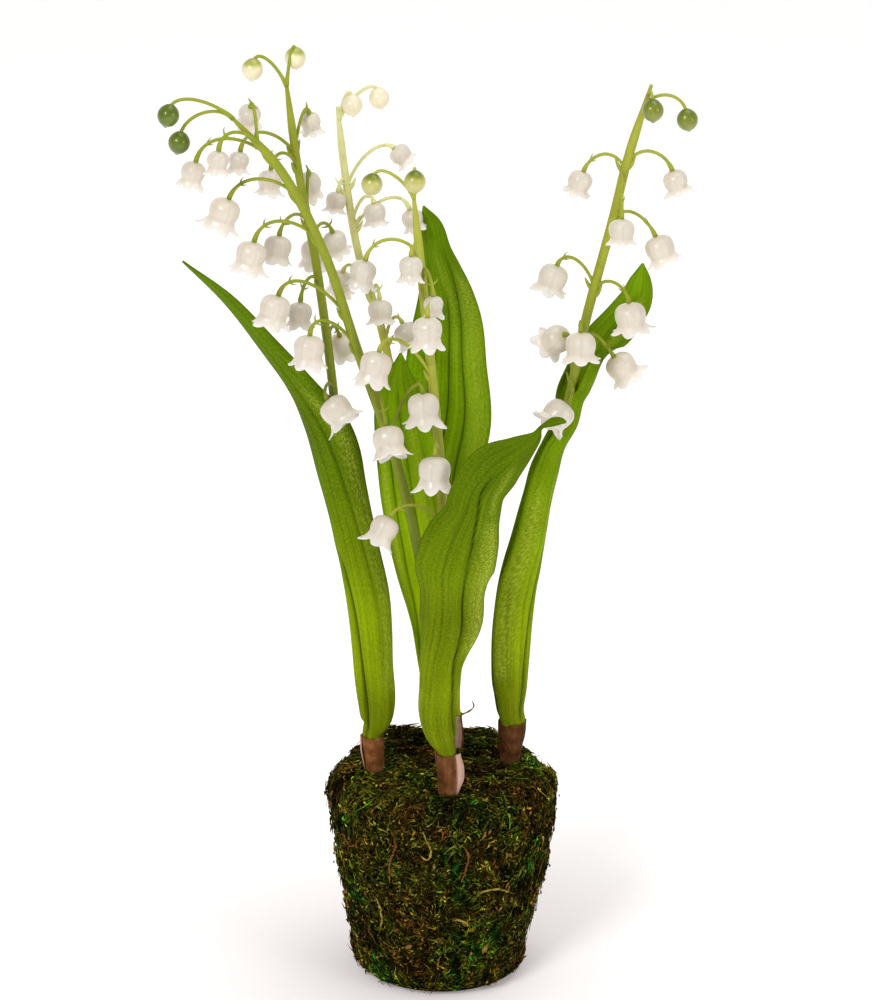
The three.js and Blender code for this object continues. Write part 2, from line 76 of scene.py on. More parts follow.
# Each pip has a foot on the moss, a lean (sideways travel per millimetre of height), the height of
# its tape, the centreline of its stem above the tape, and the rows of its leaf, bells and buds.
#   stem    [x, y, z]
#   pale    how pale the stalk is at its foot and at its tip, from 0 to 1
#   leaf    [x, y, z of the mid-rib, width laid flat, curl in degrees, heading of the outer face]
#   sheath  radius of the leaf's roll where it enters the tape and where it leaves it
#   skirt   how far the bells' lobes hang below the throat, beside the bell's width
#    painted_light_and_shade [z, how much lighter or darker the leaf is painted there beside the usual, as
#    painted light and shade]
# tape_tone_and_shade  how light the tape is: partly its own colour, partly painted shade
#    creases [depth, half width, then (across, z) along the fold], with across from -0.5 to 0.5; the depth
#    also sets how dark the shade painted along the fold is
#    sheens  the same, for the bands painted lighter as a sheen where the cloth catches the light
#   bells   [z on the stem, heading, reach, rise of the bell's crown, width, tilt from hanging,
#           and the heading it tilts to, where that isn't the one it hangs at]
#   buds    [z on the stem, heading, reach, rise of the bud's centre]
PIPS = {
    "left": {
        "foot": (-20.3, -2),
        "lean": (-0.06, 0.03),
        "tape_top": 76.5,
        "sheath": (2.3, 2.7),
        "skirt": 0.36,
        "painted_light_and_shade": [
            (80, 0.8), (88, 0.85), (100, 1.45), (116, 1.45), (132, 1.05), (148, 0.8),
            (164, 0.72), (180, 0.64), (195, 0.8), (210, 0.9),
        ],
        "tape_tone_and_shade": 1.0,
        "stem_top_radius": 1.2,
        "pale": (0.1, 0.38),
        "bud_pale": 0.9,
        "stem": [
            (-25.3, 0.5, 120), (-29.2, 1, 152), (-32.5, 2, 190), (-37, 3, 226), (-42, 3, 255),
            (-45, 3, 280),
        ],
        "leaf": [
            (-19.6, -6, 80.5, 21, 285, 8),
            (-19, -6.5, 85.5, 24, 268, 8),
            (-19.7, -6.8, 99, 25, 250, 8),
            (-21.2, -6.3, 118, 26, 235, 5),
            (-25.3, -6, 138, 23.8, 220, 0),
            (-30, -6.2, 157, 21.8, 195, -8),
            (-35.5, -7, 175, 20, 140, -28),
            (-43, -9, 190, 16, 100, -48),
            (-52.5, -11, 204.5, 12.5, 80, -55),
            (-63.5, -13, 219.5, 8.5, 70, -58),
            (-75, -15, 231.5, 1, 50, -60),
        ],
        "creases": [
            (1.7, 0.05, (-0.15, 74), (-0.19, 100), (-0.24, 118), (-0.3, 141)),
            (0.4, 0.03, (0.12, 90), (0.1, 140), (0.05, 190), (0, 222)),
            (0.25, 0.02, (0.24, 118), (0.26, 150), (0.3, 178)),
        ],
        "sheens": [
            (0.7, 0.1, (0.16, 88), (0.2, 112), (0.24, 140), (0.3, 172), (0.2, 196)),
            (0.5, 0.03, (-0.44, 90), (-0.46, 128), (-0.48, 170), (-0.49, 200)),
        ],
        "bells": [
            (259.5, 154, 8.9, 9.3, 6.1, 16),
            (258.6, 297, 17.7, 3, 5.9, 10),
            (254, 320, 11.8, 2.3, 6.9, 8),
            (240, 178, 10, 9.7, 7.2, 20),
            (237, 305, 10.4, -1.4, 8, 10),
            (232, 138, 8.8, 0.9, 7, 20),
            (218.5, 332, 11.3, -1.9, 7.1, 8),
            (226, 184, 11.1, 2.9, 7.8, 12),
            (201, 159, 9.5, -0.8, 7.4, 25),
            (185, 356, 18.4, 4.7, 9.1, 42, 70),
        ],
        "buds": [(279, 270, 9.8, 5.1), (279, 150, 5, 7.4)],
    },
    "front": {
        "foot": (2.2, -23),
        "lean": (-0.04, 0.03),
        "tape_top": 79.6,
        "sheath": (2.3, 2.5),
        "skirt": 0.46,
        "painted_light_and_shade": [
            (85, 0.68), (90, 0.7), (100, 0.95), (113, 0.84), (126, 0.68), (138, 0.85),
            (154, 0.7), (170, 0.64), (185, 0.7),
        ],
        "tape_tone_and_shade": 0.58,
        "stem_top_radius": 1.3,
        "pale": (0.42, 0.6),
        "bud_pale": 0.6,
        "stem": [(1, -20.5, 128), (0, -17.5, 165), (-2, -16, 189), (-5, -14, 219), (-8, -14, 251)],
        "leaf": [
            (0.5, -27.4, 84.1, 19.6, 272, 0),
            (-1, -28, 91.9, 24.6, 262, 0),
            (-0.5, -28.6, 101.8, 23.1, 235, 0),
            (0.4, -30, 111.1, 22, 190, 0),
            (2.8, -31.5, 122.2, 24.5, 150, 0),
            (3.3, -33, 132.7, 23.4, 130, 0),
            (3.8, -34.5, 141.2, 26.8, 105, 0),
            (6.6, -35.5, 152, 24.4, 95, 3),
            (9.3, -36.5, 160.2, 18.6, 88, 6),
            (11.3, -37.2, 167.8, 17.5, 80, 10),
            (16.3, -36.9, 175, 17.2, 70, 14),
            (22.5, -36, 180.1, 10.6, 62, 14),
            (27.2, -34.6, 184.1, 4.2, 55, 10),
            (28.9, -34, 186.9, 1, 50, 10),
            (32, -33.2, 188.3, 2.7, 50, 10),
            (34.6, -32.6, 188.5, 2.1, 50, 5),
            (36.2, -32.2, 188.1, 1, 50, 0),
        ],
        "creases": [
            (1.1, 0.02, (0.25, 78), (0.2, 100), (0.14, 119), (0.12, 151), (0.02, 168), (0, 181)),
            (0.3, 0.03, (-0.12, 95), (-0.12, 125), (-0.14, 160), (-0.1, 174)),
            (0.25, 0.03, (0.33, 118), (0.32, 140), (0.3, 164)),
        ],
        "sheens": [
            (0.8, 0.12, (0.36, 112), (0.36, 128), (0.36, 148), (0.3, 163)),
            (0.45, 0.07, (0.3, 160), (0.28, 172), (0.2, 179)),
            (0.6, 0.06, (-0.3, 84), (-0.3, 94), (-0.28, 102)),
        ],
        "bells": [
            (233, 277, 15.8, -1.1, 7.6, 12),
            (221, 341, 10.7, 14.7, 6.8, 6),
            (226, 32, 6.3, -3.8, 5.7, 4),
            (201, 357, 15.2, 18.2, 8.5, 3),
            (196, 302, 18.1, 11.1, 9.1, 16),
            (168, 351, 10.4, 7.8, 9.3, 12),
            (151, 292, 16.8, 5, 8.3, 32, 300),
        ],
        "buds": [(250.5, 261, 12.2, 3.3), (250, 10, 2, 5.7)],
    },
    "right": {
        "foot": (21.2, 4),
        "lean": (0.05, -0.02),
        "tape_top": 79,
        "sheath": (2.4, 3.7),
        "skirt": 0.28,
        "painted_light_and_shade": [
            (82, 0.75), (90, 0.85), (106, 1.35), (122, 1.35), (138, 1.45), (151, 1.35),
            (165, 1.05), (190, 1.15), (205, 1.3), (215, 1.6),
        ],
        "tape_tone_and_shade": 0.52,
        "stem_top_radius": 1.35,
        "pale": (0, 0.5),
        "bud_pale": 0.2,
        "stem": [
            (23.3, 3, 105),
            (26, 2, 124),
            (29.8, 0.8, 150),
            (38, -1.4, 184),
            (42, -5, 208),
            (50, -7, 242),
            (54, -7, 260),
            (60.5, -7, 282),
        ],
        "leaf": [
            (25.2, 3.8, 83, 21.5, 290, 98),
            (25.9, 3.7, 89, 26.5, 285, 96),
            (26.6, 3.4, 101, 30, 280, 92),
            (28.4, 3, 119, 32, 268, 86),
            (31.5, 2.5, 138, 27, 245, 90),
            (33.2, 1.6, 150.7, 23, 250, 90),
            (34.9, 0.9, 160, 21.5, 250, 90),
            (36.9, -0.2, 169, 17.2, 250, 90),
            (40.7, -0.9, 176.8, 16.9, 230, 94),
            (42.1, 1.9, 183.7, 18.9, 225, 118),
            (45.2, 3.8, 190.6, 18.8, 220, 125),
            (48.6, 9.5, 198.5, 14, 120, 155),
            (54.3, 13, 205.5, 11.9, 75, 174),
            (58.1, 13.2, 211.5, 10.1, 68, 175),
            (59.4, 12.8, 217.5, 6.6, 60, 176),
            (59.9, 12.2, 222.6, 1, 50, 178),
        ],
        "creases": [
            (1.0, 0.025, (-0.17, 78), (-0.13, 102), (-0.09, 118), (-0.07, 131), (-0.05, 144)),
            (0.4, 0.03, (-0.33, 90), (-0.36, 115), (-0.4, 128)),
            (0.35, 0.07, (-0.01, 128), (0, 150), (0.01, 168), (0.04, 186)),
            (-0.5, 0.05, (0.02, 194), (0.01, 204), (0, 214)),
        ],
        "sheens": [
            (0.75, 0.09, (-0.42, 92), (-0.38, 108), (-0.36, 128), (-0.34, 150), (-0.34, 160)),
            (0.5, 0.014, (-0.11, 118), (-0.13, 130), (-0.14, 150), (-0.14, 166)),
            (0.5, 0.12, (-0.2, 186), (-0.15, 200), (-0.15, 214)),
        ],
        "bells": [
            (257, 270, 12, -0.8, 7.1, 18),
            (258, 90, 13.5, -1.6, 7.1, 18),
            (253.5, 358, 10, -8.7, 7.5, 8),
            (241, 77, 12.9, -3.6, 8.5, 22),
            (221, 270, 11, 6.5, 8.6, 18),
            (219, 69, 11.2, -1.8, 9.1, 8),
            (190, 222, 4.1, 14, 8.5, 55),
            (201, 0, 11, 8.8, 8.9, 5),
            (203, 103, 10.4, -4.9, 8.9, 35),
            (188, 351, 10, -1.4, 9.1, 50, 300),
        ],
        "buds": [(276, 20, 6, -0.1), (276, 105, 13, -5.2)],
    },
    "back": {
        "foot": (4.5, 16),
        "lean": (-0.08, 0.04),
        "tape_top": 76,
        "sheath": (2.2, 2.3),
        "skirt": 0.28,
        "painted_light_and_shade": [(150, 2.1), (158, 2.2), (171, 2.0), (190, 1.9), (206, 1.35), (219, 1.2)],
        "tape_tone_and_shade": 1.0,
        "stem_top_radius": 1.1,
        "pale": (0.35, 1),
        "bud_pale": 1,
        "stem": [
            (-3, 19, 125), (-13, 24, 173), (-18, 28, 197), (-25, 32, 220), (-29, 35, 245),
            (-31, 37, 264),
        ],
        "leaf": [
            (1.5, 23.5, 90, 21, 225, 178),
            (-0.8, 26, 108, 20, 175, 176),
            (-2.5, 28.5, 128, 23, 140, 174),
            (-1.8, 31, 148, 29, 110, 172),
            (1.8, 34, 168, 31.5, 90, 172),
            (2.4, 35.5, 186.5, 26.4, 78, 170),
            (2.7, 36.5, 196.7, 23, 70, 168),
            (1.8, 37, 206.2, 17.7, 62, 168),
            (0.2, 37, 213.1, 13.7, 56, 168),
            (-1.5, 36.8, 219.8, 10, 52, 168),
            (-3.1, 36.3, 228, 6.8, 49, 168),
            (-5.3, 35.4, 233.6, 1, 45, 168),
        ],
        "creases": [
            (-1.0, 0.028, (-0.2, 135), (-0.18, 165), (-0.15, 186), (-0.15, 201), (-0.2, 213), (-0.22, 222)),
            (-1.1, 0.03, (0, 132), (0, 160), (0, 185), (0.02, 210)),
            (-0.5, 0.03, (0.22, 140), (0.2, 180), (0.18, 205)),
        ],
        "sheens": [
            (0.8, 0.15, (-0.36, 150), (-0.34, 180), (-0.34, 200), (-0.38, 216)),
            (0.35, 0.1, (-0.08, 182), (-0.08, 205), (0.1, 222)),
        ],
        "bells": [
            (240, 90, 14.2, 12, 6.4, 45),
            (238, 304, 3.5, 0.9, 6.2, 14),
            (229, 59, 7.7, 7.3, 6.7, 6),
            (227, 90, 17, 6.2, 6.5, 16),
            (206, 15, 8.9, 2.6, 7.4, 10),
            (206, 236, 10.8, 6.9, 7.4, 14),
            (193, 70, 5.8, 6.8, 7.7, 26),
        ],
        "buds": [(260, 90, 4, 4.7), (260, 110, 12.8, 5.7)],
    },
    "middle": {
        "foot": (1.5, -2),
        "lean": (-0.06, -0.04),
        "tape_top": 76,
        "sheath": (2.3, 2.5),
        "skirt": 0.4,
        "painted_light_and_shade": [(100, 2.1), (119, 2.1), (132, 1.9), (151, 1.75), (176, 1.8), (189, 1.3)],
        "tape_tone_and_shade": 1.0,
        "stem_top_radius": 1.3,
        "pale": (0.08, 0.36),
        "bud_pale": 0,
        "stem": [
            (-3, -5.5, 116), (-12.4, -11, 165), (-24.2, -17, 204), (-34, -23, 237),
            (-46, -29, 263), (-59, -33, 279),
        ],
        "leaf": [
            (0.5, 2.4, 87, 19, 250, 180),
            (-0.5, 3.5, 100, 22, 205, 180),
            (-1, 4, 115, 23, 160, 180),
            (-3.8, 4, 132, 24.5, 130, 180),
            (-6.8, 4, 150, 24.5, 110, 180),
            (-9.8, 4, 168, 21, 90, 180),
            (-12.3, 3, 184, 15, 70, 180),
            (-12, 2, 198, 1, 50, 180),
        ],
        "creases": [
            (-0.9, 0.03, (0.3, 92), (0.3, 130), (0.27, 165), (0.2, 185)),
            (-0.9, 0.03, (0.08, 105), (0.06, 140), (0.04, 170), (0.04, 190)),
            (-0.4, 0.03, (-0.2, 110), (-0.2, 175)),
        ],
        "sheens": [
            (0.9, 0.05, (0.44, 92), (0.43, 130), (0.4, 165), (0.36, 180)),
            (0.4, 0.08, (-0.1, 130), (-0.1, 180)),
        ],
        "bells": [
            (266, 273, 21.7, -0.4, 6.9, 14),
            (267, 303, 16.6, 4, 6.1, 6),
            (271, 195, 8.3, 8.5, 6.4, 30),
            (254, 276, 19.6, 0.1, 8.7, 20),
            (240, 285, 19.1, 1.3, 8.6, 14),
            (216, 282, 19.9, 7.5, 8.8, 16),
            (205, 303, 16.1, 7.3, 8.8, 5),
            (191.7, 23, 11, -7.3, 9.1, 25),
            (176, 42, 15, 17.9, 9.1, 4),
        ],
        "buds": [(279, 270, 18, 0.8), (278.6, 261, 15.8, -7.4)],
    },
}

# Loose bits caught in the moss, as (heading, z) points on the block's side.
CURLS = {
    "brown": [
        [(-26, 57), (-24, 53), (-28, 46), (-28, 42), (-24, 41)],
        [(8, 55), (14, 51), (15, 46), (11, 41)],
        [(-62, 50), (-55, 47), (-50, 50)],
        [(140, 48), (147, 43), (143, 37), (150, 33)],
        [(215, 30), (222, 34), (230, 31), (233, 25)],
    ],
    "straw": [
        [(-9, 58), (-5, 52), (-7, 49), (-11, 50)],
        [(17, 34), (25, 36), (35, 36), (44, 33)],
        [(7, 28), (11, 28), (16, 26)],
        [(-38, 33), (-35, 27), (-37, 22)],
        [(95, 30), (103, 34), (112, 33)],
        [(180, 20), (189, 23), (196, 20), (203, 23)],
        [(262, 44), (268, 38), (264, 33)],
    ],
}
FLAKES = [
    (27, 16, 2.3),
    (-20, 17, 2.0),
    (2, 44, 1.2),
    (22, 57, 1.3),
    (120, 24, 2.4),
    (200, 46, 2.1),
    (290, 28, 2.2),
]
CRUMBS = 150

# Swells and dents of the whole block, as (x, y, z, radius, height).
SWELLS = [
    (30, 0, 36, 12, 1.8),
    (31, -10, 50, 9, 1.2),
    (32, -4, 62, 9, 1.6),
    (-32, -2, 62, 9, 0.8),
    (2, -25, 65, 7, 2.0),
    (-20, -8, 65, 6, 1.6),
    (-31, 0, 46, 10, 0.8),
    (28, -2, 4, 12, -3.6),
    (-26, -6, 6, 12, -0.6),
    (-14, 27, 66, 9, 2.4),
    (16, 26, 66, 9, 1.8),
]

# Patches of fresh moss, as (x, y, z, radius, how much fresher, how much lighter they are painted: partly
# their own colour, partly painted light where the moss catches it).
PATCHES = [
    (29, 3, 65, 8, 0.36, 1.0),
    (-16, -6, 66, 12, 0.12, 0.65),
    (-26, -22, 58, 10, 0.1, 0.35),
    (0, -31, 46, 6, 0.4, 0),
    (4, -31, 37, 5, 0.45, 0),
    (-27, -16, 30, 7, 0.3, 0),
    (-21, -19, 8, 8, 0.4, 0),
    (6, -28, 13, 9, 0.4, 0.05),
    (17, -24, 22, 8, 0.42, 0.1),
    (26, -16, 44, 7, 0.25, 0.3),
    (22, -25, 54, 8, 0.2, 0.25),
    (8, -30, 60, 6, 0.35, 0),
    (-14, 26, 34, 12, 0.4, 0.1),
    (22, 20, 24, 11, 0.35, 0.1),
    (12, 20, 66, 9, 0.3, 0.2),
]

# ---- Helpers ---------------------------------------------------------------------------------


def lerp(a, b, t):
    return a + (b - a) * t


def clamp(value, low=0.0, high=1.0):
    return max(low, min(high, value))


def smooth_step(start, end, value):
    t = clamp((value - start) / (end - start))
    return t * t * (3 - 2 * t)


def srgb(red, green, blue):
    """A colour given in 0 to 255 display values, as linear light."""
    return tuple(((v / 255 + 0.055) / 1.055) ** 2.4 if v > 10 else v / 3294.6 for v in (red, green, blue))


def heading_vector(degrees):
    angle = math.radians(degrees)
    return Vector((math.sin(angle), -math.cos(angle), 0))


def seeded_random(seed):
    """The same draws as the CAD's, so that the lobes point the same way."""
    state = seed
    while True:
        state = (state * 1664525 + 1013904223) % 2**32
        yield state / 2**32


def smooth_rows(rows, steps):
    """Rows of numbers running smoothly through the given rows, spaced by their first three."""
    rows = np.array(rows, float)
    ends = np.vstack([2 * rows[0] - rows[1], rows, 2 * rows[-1] - rows[-2]])
    spans = np.sqrt(np.linalg.norm(np.diff(ends[:, :3], axis=0), axis=1))
    t = np.linspace(0, 1, steps, endpoint=False)[:, None]
    smooth = []
    for i in range(1, len(rows)):
        a, b, c, d = ends[i - 1 : i + 3]
        before, along, after = spans[i - 1 : i + 2]
        leave = ((b - a) / before - (c - a) / (before + along) + (c - b) / along) * along
        arrive = ((c - b) / along - (d - b) / (along + after) + (d - c) / after) * along
        here = (1 + 2 * t) * (1 - t) ** 2 * b + t**2 * (3 - 2 * t) * c
        smooth.append(here + t * (1 - t) ** 2 * leave + t**2 * (t - 1) * arrive)
    return np.vstack([*smooth, rows[-1:]])


def evenly(rows, count):
    """The same run of rows, resampled to count even steps of length."""
    length = np.concatenate([[0], np.cumsum(np.linalg.norm(np.diff(rows[:, :3], axis=0), axis=1))])
    wanted = np.linspace(0, length[-1], count + 1)
    return np.column_stack([np.interp(wanted, length, column) for column in rows.T])


def bezier(root, leave, arrive, end, count):
    points = []
    for i in range(count + 1):
        t = i / count
        u = 1 - t
        points.append(root * u**3 + leave * 3 * u * u * t + arrive * 3 * u * t * t + end * t**3)
    return points


def path_frames(path):
    """The point, tangent and two cross directions at each step of a path, without twist."""
    points = [Vector(p[:3]) for p in path]
    across = Vector((0.31, 0.95, 0.05))
    frames = []
    for i, point in enumerate(points):
        tangent = (points[min(i + 1, len(points) - 1)] - points[max(i - 1, 0)]).normalized()
        across = (across - tangent * across.dot(tangent)).normalized()
        frames.append((point, tangent, across, tangent.cross(across)))
    return frames


def tube(path, radius_at, sides=8, shape=None):
    """A capped cylinder bent along a path; radius_at is given 0 at the root and 1 at the tip."""
    steps = len(path) - 1
    bm = bmesh.new()
    bmesh.ops.create_cone(bm, cap_ends=True, segments=sides, radius1=1, radius2=1, depth=1)
    lengthwise = [edge for edge in bm.edges if abs(edge.verts[0].co.z - edge.verts[1].co.z) > 0.5]
    bmesh.ops.subdivide_edges(bm, edges=lengthwise, cuts=steps - 1)
    frames = path_frames(path)
    for vert in bm.verts:
        along = vert.co.z + 0.5
        point, _, across, upward = frames[round(along * steps)]
        radius = radius_at(along)
        if shape:
            radius *= shape(math.atan2(vert.co.y, vert.co.x), along)
        vert.co = point + (across * vert.co.x + upward * vert.co.y) * radius
    return bm


def thicken(bm, depth):
    """Gives an open sheet a wall behind it; depth is a function of a vertex."""
    bm.normal_update()
    push = bm.verts.layers.float_vector.new("push")
    for vert in bm.verts:
        vert[push] = vert.normal * depth(vert)
    back = bmesh.ops.extrude_face_region(bm, geom=bm.faces[:], use_keep_orig=True)
    for item in back["geom"]:
        if isinstance(item, bmesh.types.BMVert):
            item.co -= item[push]
    bm.verts.layers.float_vector.remove(push)
    bmesh.ops.recalc_face_normals(bm, faces=bm.faces[:])


def mark(bm, name, value):
    """Writes a number on each vertex, which the finish reads back by name."""
    layer = bm.verts.layers.float.new(name)
    for vert in bm.verts:
        vert[layer] = value(vert) if callable(value) else value


def as_mesh(name, bm):
    mesh = bpy.data.meshes.new(name)
    bm.to_mesh(mesh)
    bm.free()
    return mesh


def joined(parts):
    """One bmesh holding all the parts, which carry the same marks."""
    whole = bmesh.new()
    for part in parts:
        mesh = as_mesh("part", part)
        whole.from_mesh(mesh)
        bpy.data.meshes.remove(mesh)
    return whole


def finish_piece(name, bm, finish, nodes=(), smooth=True):
    """Turns a bmesh in millimetres into a finished piece of the plant."""
    bmesh.ops.scale(bm, vec=(MM, MM, MM), verts=bm.verts[:])
    return place_mesh(name, as_mesh(name, bm), finish, nodes, smooth)


def place_mesh(name, mesh, finish, nodes=(), smooth=True):
    mesh.polygons.foreach_set("use_smooth", [smooth] * len(mesh.polygons))
    mesh.materials.append(finish)
    piece = bpy.data.objects.new(name, mesh)
    bpy.context.scene.collection.objects.link(piece)
    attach(piece, "root")
    if nodes:
        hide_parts(*nodes)
    return piece


# ---- Finishes --------------------------------------------------------------------------------


class Field:
    """A number, colour or vector that varies over a surface; arithmetic on it adds its nodes."""

    def __init__(self, finish, socket):
        self.finish = finish
        self.socket = socket

    def is_vector(self):
        return self.socket.type in ("RGBA", "VECTOR")

    def work(self, operation, first, second):
        sides = (first, second)
        vectors = any(isinstance(v, tuple) or (isinstance(v, Field) and v.is_vector()) for v in sides)
        kind = "ShaderNodeVectorMath" if vectors else "ShaderNodeMath"
        return self.finish.node(kind, {"operation": operation}, {0: first, 1: second})

    def __add__(self, other):
        return self.work("ADD", self, other)

    def __radd__(self, other):
        return self.work("ADD", other, self)

    def __sub__(self, other):
        return self.work("SUBTRACT", self, other)

    def __rsub__(self, other):
        return self.work("SUBTRACT", other, self)

    def __mul__(self, other):
        return self.work("MULTIPLY", self, other)

    def __rmul__(self, other):
        return self.work("MULTIPLY", other, self)


class Finish:
    """A material being put together round one Principled shader."""

    def __init__(self, name, **constants):
        self.material = bpy.data.materials.new(name)
        self.material.use_nodes = True
        self.nodes = self.material.node_tree.nodes
        self.links = self.material.node_tree.links
        self.shader = self.nodes["Principled BSDF"]
        for socket, value in constants.items():
            self.shader.inputs[socket.replace("_", " ")].default_value = value

    def node(self, kind, settings, sockets, output=0):
        """Adds a node: its settings first, then its sockets. A ramp's stops are one of its settings."""
        node = self.nodes.new(kind)
        for name, value in settings.items():
            if name == "stops":
                self.set_stops(node.color_ramp, value)
            else:
                setattr(node, name, value)
        for name, value in sockets.items():
            self.join(node.inputs[name], value)
        return Field(self, node.outputs[output])

    def set_stops(self, ramp, stops):
        while len(ramp.elements) < len(stops):
            ramp.elements.new(0.5)
        for element, (position, colour) in zip(ramp.elements, stops):
            element.position = position
            element.color = (*colour, 1)

    def join(self, socket, value):
        if isinstance(value, Field):
            self.links.new(value.socket, socket)
        elif socket.type == "RGBA":
            socket.default_value = (*value, 1)
        elif socket.type == "VECTOR" and not isinstance(value, tuple):
            socket.default_value = (value, value, value)
        else:
            socket.default_value = value

    def place(self):
        """The point on the piece, in metres."""
        return self.node("ShaderNodeTexCoord", {}, {}, "Object")

    def written(self, name):
        """A number written on the vertices."""
        return self.node("ShaderNodeAttribute", {"attribute_name": name}, {}, "Fac")

    def clouds(self, where, scale, detail=2.0):
        """Soft noise from 0 to 1."""
        return self.node("ShaderNodeTexNoise", {}, {"Vector": where, "Scale": scale, "Detail": detail}, "Fac")

    def stretched(self, where, scale):
        return self.node("ShaderNodeMapping", {}, {"Vector": where, "Scale": scale}, "Vector")

    def turned(self, where, scale, angle):
        """Scaled first and then turned about the third axis."""
        sockets = {"Vector": where, "Scale": scale, "Rotation": (0, 0, angle)}
        return self.node("ShaderNodeMapping", {}, sockets, "Vector")

    def part(self, vector, axis):
        return self.node("ShaderNodeSeparateXYZ", {}, {"Vector": vector}, axis)

    def between(self, low, high, value):
        """How far a value is from low to high, kept within 0 and 1 and eased at both ends."""
        settings = {"interpolation_type": "SMOOTHSTEP"}
        return self.node("ShaderNodeMapRange", settings, {"Value": value, "From Min": low, "From Max": high})

    def ramp(self, factor, stops):
        return self.node("ShaderNodeValToRGB", {"stops": stops}, {"Fac": factor})

    def mix(self, factor, first, second):
        settings = {"data_type": "RGBA"}
        return self.node("ShaderNodeMix", settings, {"Factor": factor, "A": first, "B": second}, "Result")

    def bump(self, height, strength, distance):
        sockets = {"Height": height, "Strength": strength, "Distance": distance}
        return self.node("ShaderNodeBump", {}, sockets, "Normal")

    def done(self, **links):
        for socket, field in links.items():
            self.join(self.shader.inputs[socket.replace("_", " ")], field)
        return self.material


def leaf_finish():
    """Leaf cloth: yellow-green at the foot, deeper above, with painted light and shade along it, painted
    shade in its folds and a painted sheen on its twill where it catches the light.
    """
    finish = Finish("pleated_leaf_cloth", Specular_IOR_Level=0.02)
    blade = finish.node("ShaderNodeUVMap", {"uv_map": "blade"}, {})
    height = finish.part(finish.place(), "Z")
    edge = finish.written("edge")
    crease = finish.written("crease")
    sheen = finish.written("sheen")
    threads = finish.turned(blade, (26, 190, 1), 1.0)
    twill = finish.clouds(finish.stretched(threads, (3.2, 0.9, 1)), 1, 2)
    woven = finish.between(0.42, 0.66, twill)
    streaks = finish.clouds(finish.stretched(blade, (20, 1.4, 1)), 1, 2)
    fibres = finish.clouds(finish.stretched(blade, (210, 9, 1)), 1, 3)
    blotches = finish.clouds(finish.stretched(blade, (3, 8, 1)), 1, 2)
    cloth = finish.ramp(
        height * 5 + blotches * 0.3 - 0.45,
        [
            (0.0, srgb(130, 146, 8)),
            (0.25, srgb(116, 136, 4)),
            (0.55, srgb(100, 130, 4)),
            (0.8, srgb(88, 120, 6)),
        ],
    )
    patches = finish.clouds(finish.place(), 50, 2)
    # Light and dark lengthwise streaks: partly the cloth's own, partly painted light and shade on its fine
    # pleats.
    pleat_light_and_shade = finish.between(0.34, 0.66, streaks)
    weave = finish.between(0.3, 0.7, fibres)
    texture = 0.62 + 0.24 * pleat_light_and_shade + 0.34 * weave + 0.16 * woven
    # The light and shade painted along the leaf makes the cloth lighter or darker here.
    shaded = cloth * finish.written("tone") * (0.7 + 0.6 * patches) * texture
    # Painted sheen: the sheen bands and the twill's glints are mixed towards a pale satin green.
    painted_highlights = sheen * (0.2 + 0.7 * woven) + 0.16 * woven * weave
    lit = finish.mix(painted_highlights, shaded, srgb(184, 200, 64))
    edged = finish.mix(edge * 0.5, lit, srgb(70, 92, 4))
    # The folds are painted with shade, mixed towards near black.
    return finish.done(
        Base_Color=finish.mix(crease * 0.92, edged, srgb(16, 32, 0)),
        Roughness=0.62 - 0.2 * sheen,
        Normal=finish.bump(twill + streaks + fibres, 0.25, 0.0003),
    )


def stalk_finish():
    """Moulded soft plastic in olive to pale yellow-green, glossier and greener on the buds."""
    finish = Finish("moulded_stalk", Specular_IOR_Level=0.35, Coat_Roughness=0.08)
    pale = finish.written("pale")
    bud = finish.written("bud")
    blush = finish.written("blush")
    mottle = finish.clouds(finish.place(), 260, 3)
    grain = finish.clouds(finish.stretched(finish.place(), (1500, 1500, 120)), 1, 2)
    stalk = finish.ramp(
        pale + (mottle - 0.5) * 0.25,
        [
            (0.0, srgb(104, 122, 10)),
            (0.35, srgb(140, 150, 26)),
            (0.7, srgb(180, 182, 66)),
            (1.0, srgb(224, 224, 156)),
        ],
    )
    berry = finish.ramp(
        pale + (mottle - 0.5) * 0.4,
        [
            (0.0, srgb(86, 104, 8)),
            (0.3, srgb(134, 142, 34)),
            (0.65, srgb(196, 194, 116)),
            (1.0, srgb(244, 234, 204)),
        ],
    )
    faded = finish.mix(blush, berry, srgb(240, 226, 194))
    colour = finish.mix(bud, stalk, faded) * (0.86 + 0.24 * grain)
    return finish.done(
        Base_Color=colour,
        Roughness=0.5 - 0.25 * bud + 0.1 * grain,
        Coat_Weight=bud * 0.4,
        Normal=finish.bump(grain + mottle, 0.2, 0.0002),
    )


def bell_finish():
    """Warm white translucent plastic, clearer and greener at the crown."""
    finish = Finish(
        "milky_bell",
        Subsurface_Weight=0.65,
        Subsurface_Radius=(0.0045, 0.0037, 0.0028),
        Subsurface_Scale=1.0,
        Specular_IOR_Level=0.5,
        Coat_Roughness=0.1,
    )
    lobe = finish.written("lobe")
    crown = finish.written("crown")
    rib = finish.written("rib")
    cloud = finish.clouds(finish.place(), 420, 2)
    haze = finish.clouds(finish.place(), 150, 2)
    milky = finish.mix(haze, srgb(238, 225, 206), srgb(224, 205, 184))
    body = finish.mix(cloud, milky, srgb(212, 197, 178))
    ribbed = finish.mix(rib * 0.5, body, srgb(204, 188, 172))
    tipped = finish.mix(lobe * 0.7, ribbed, srgb(236, 226, 220))
    colour = finish.mix(crown * 0.55, tipped, srgb(196, 200, 140))
    return finish.done(
        Base_Color=colour,
        Roughness=0.3 + 0.2 * cloud,
        Coat_Weight=0.35 - 0.25 * lobe,
        Normal=finish.bump(cloud, 0.15, 0.0003),
    )


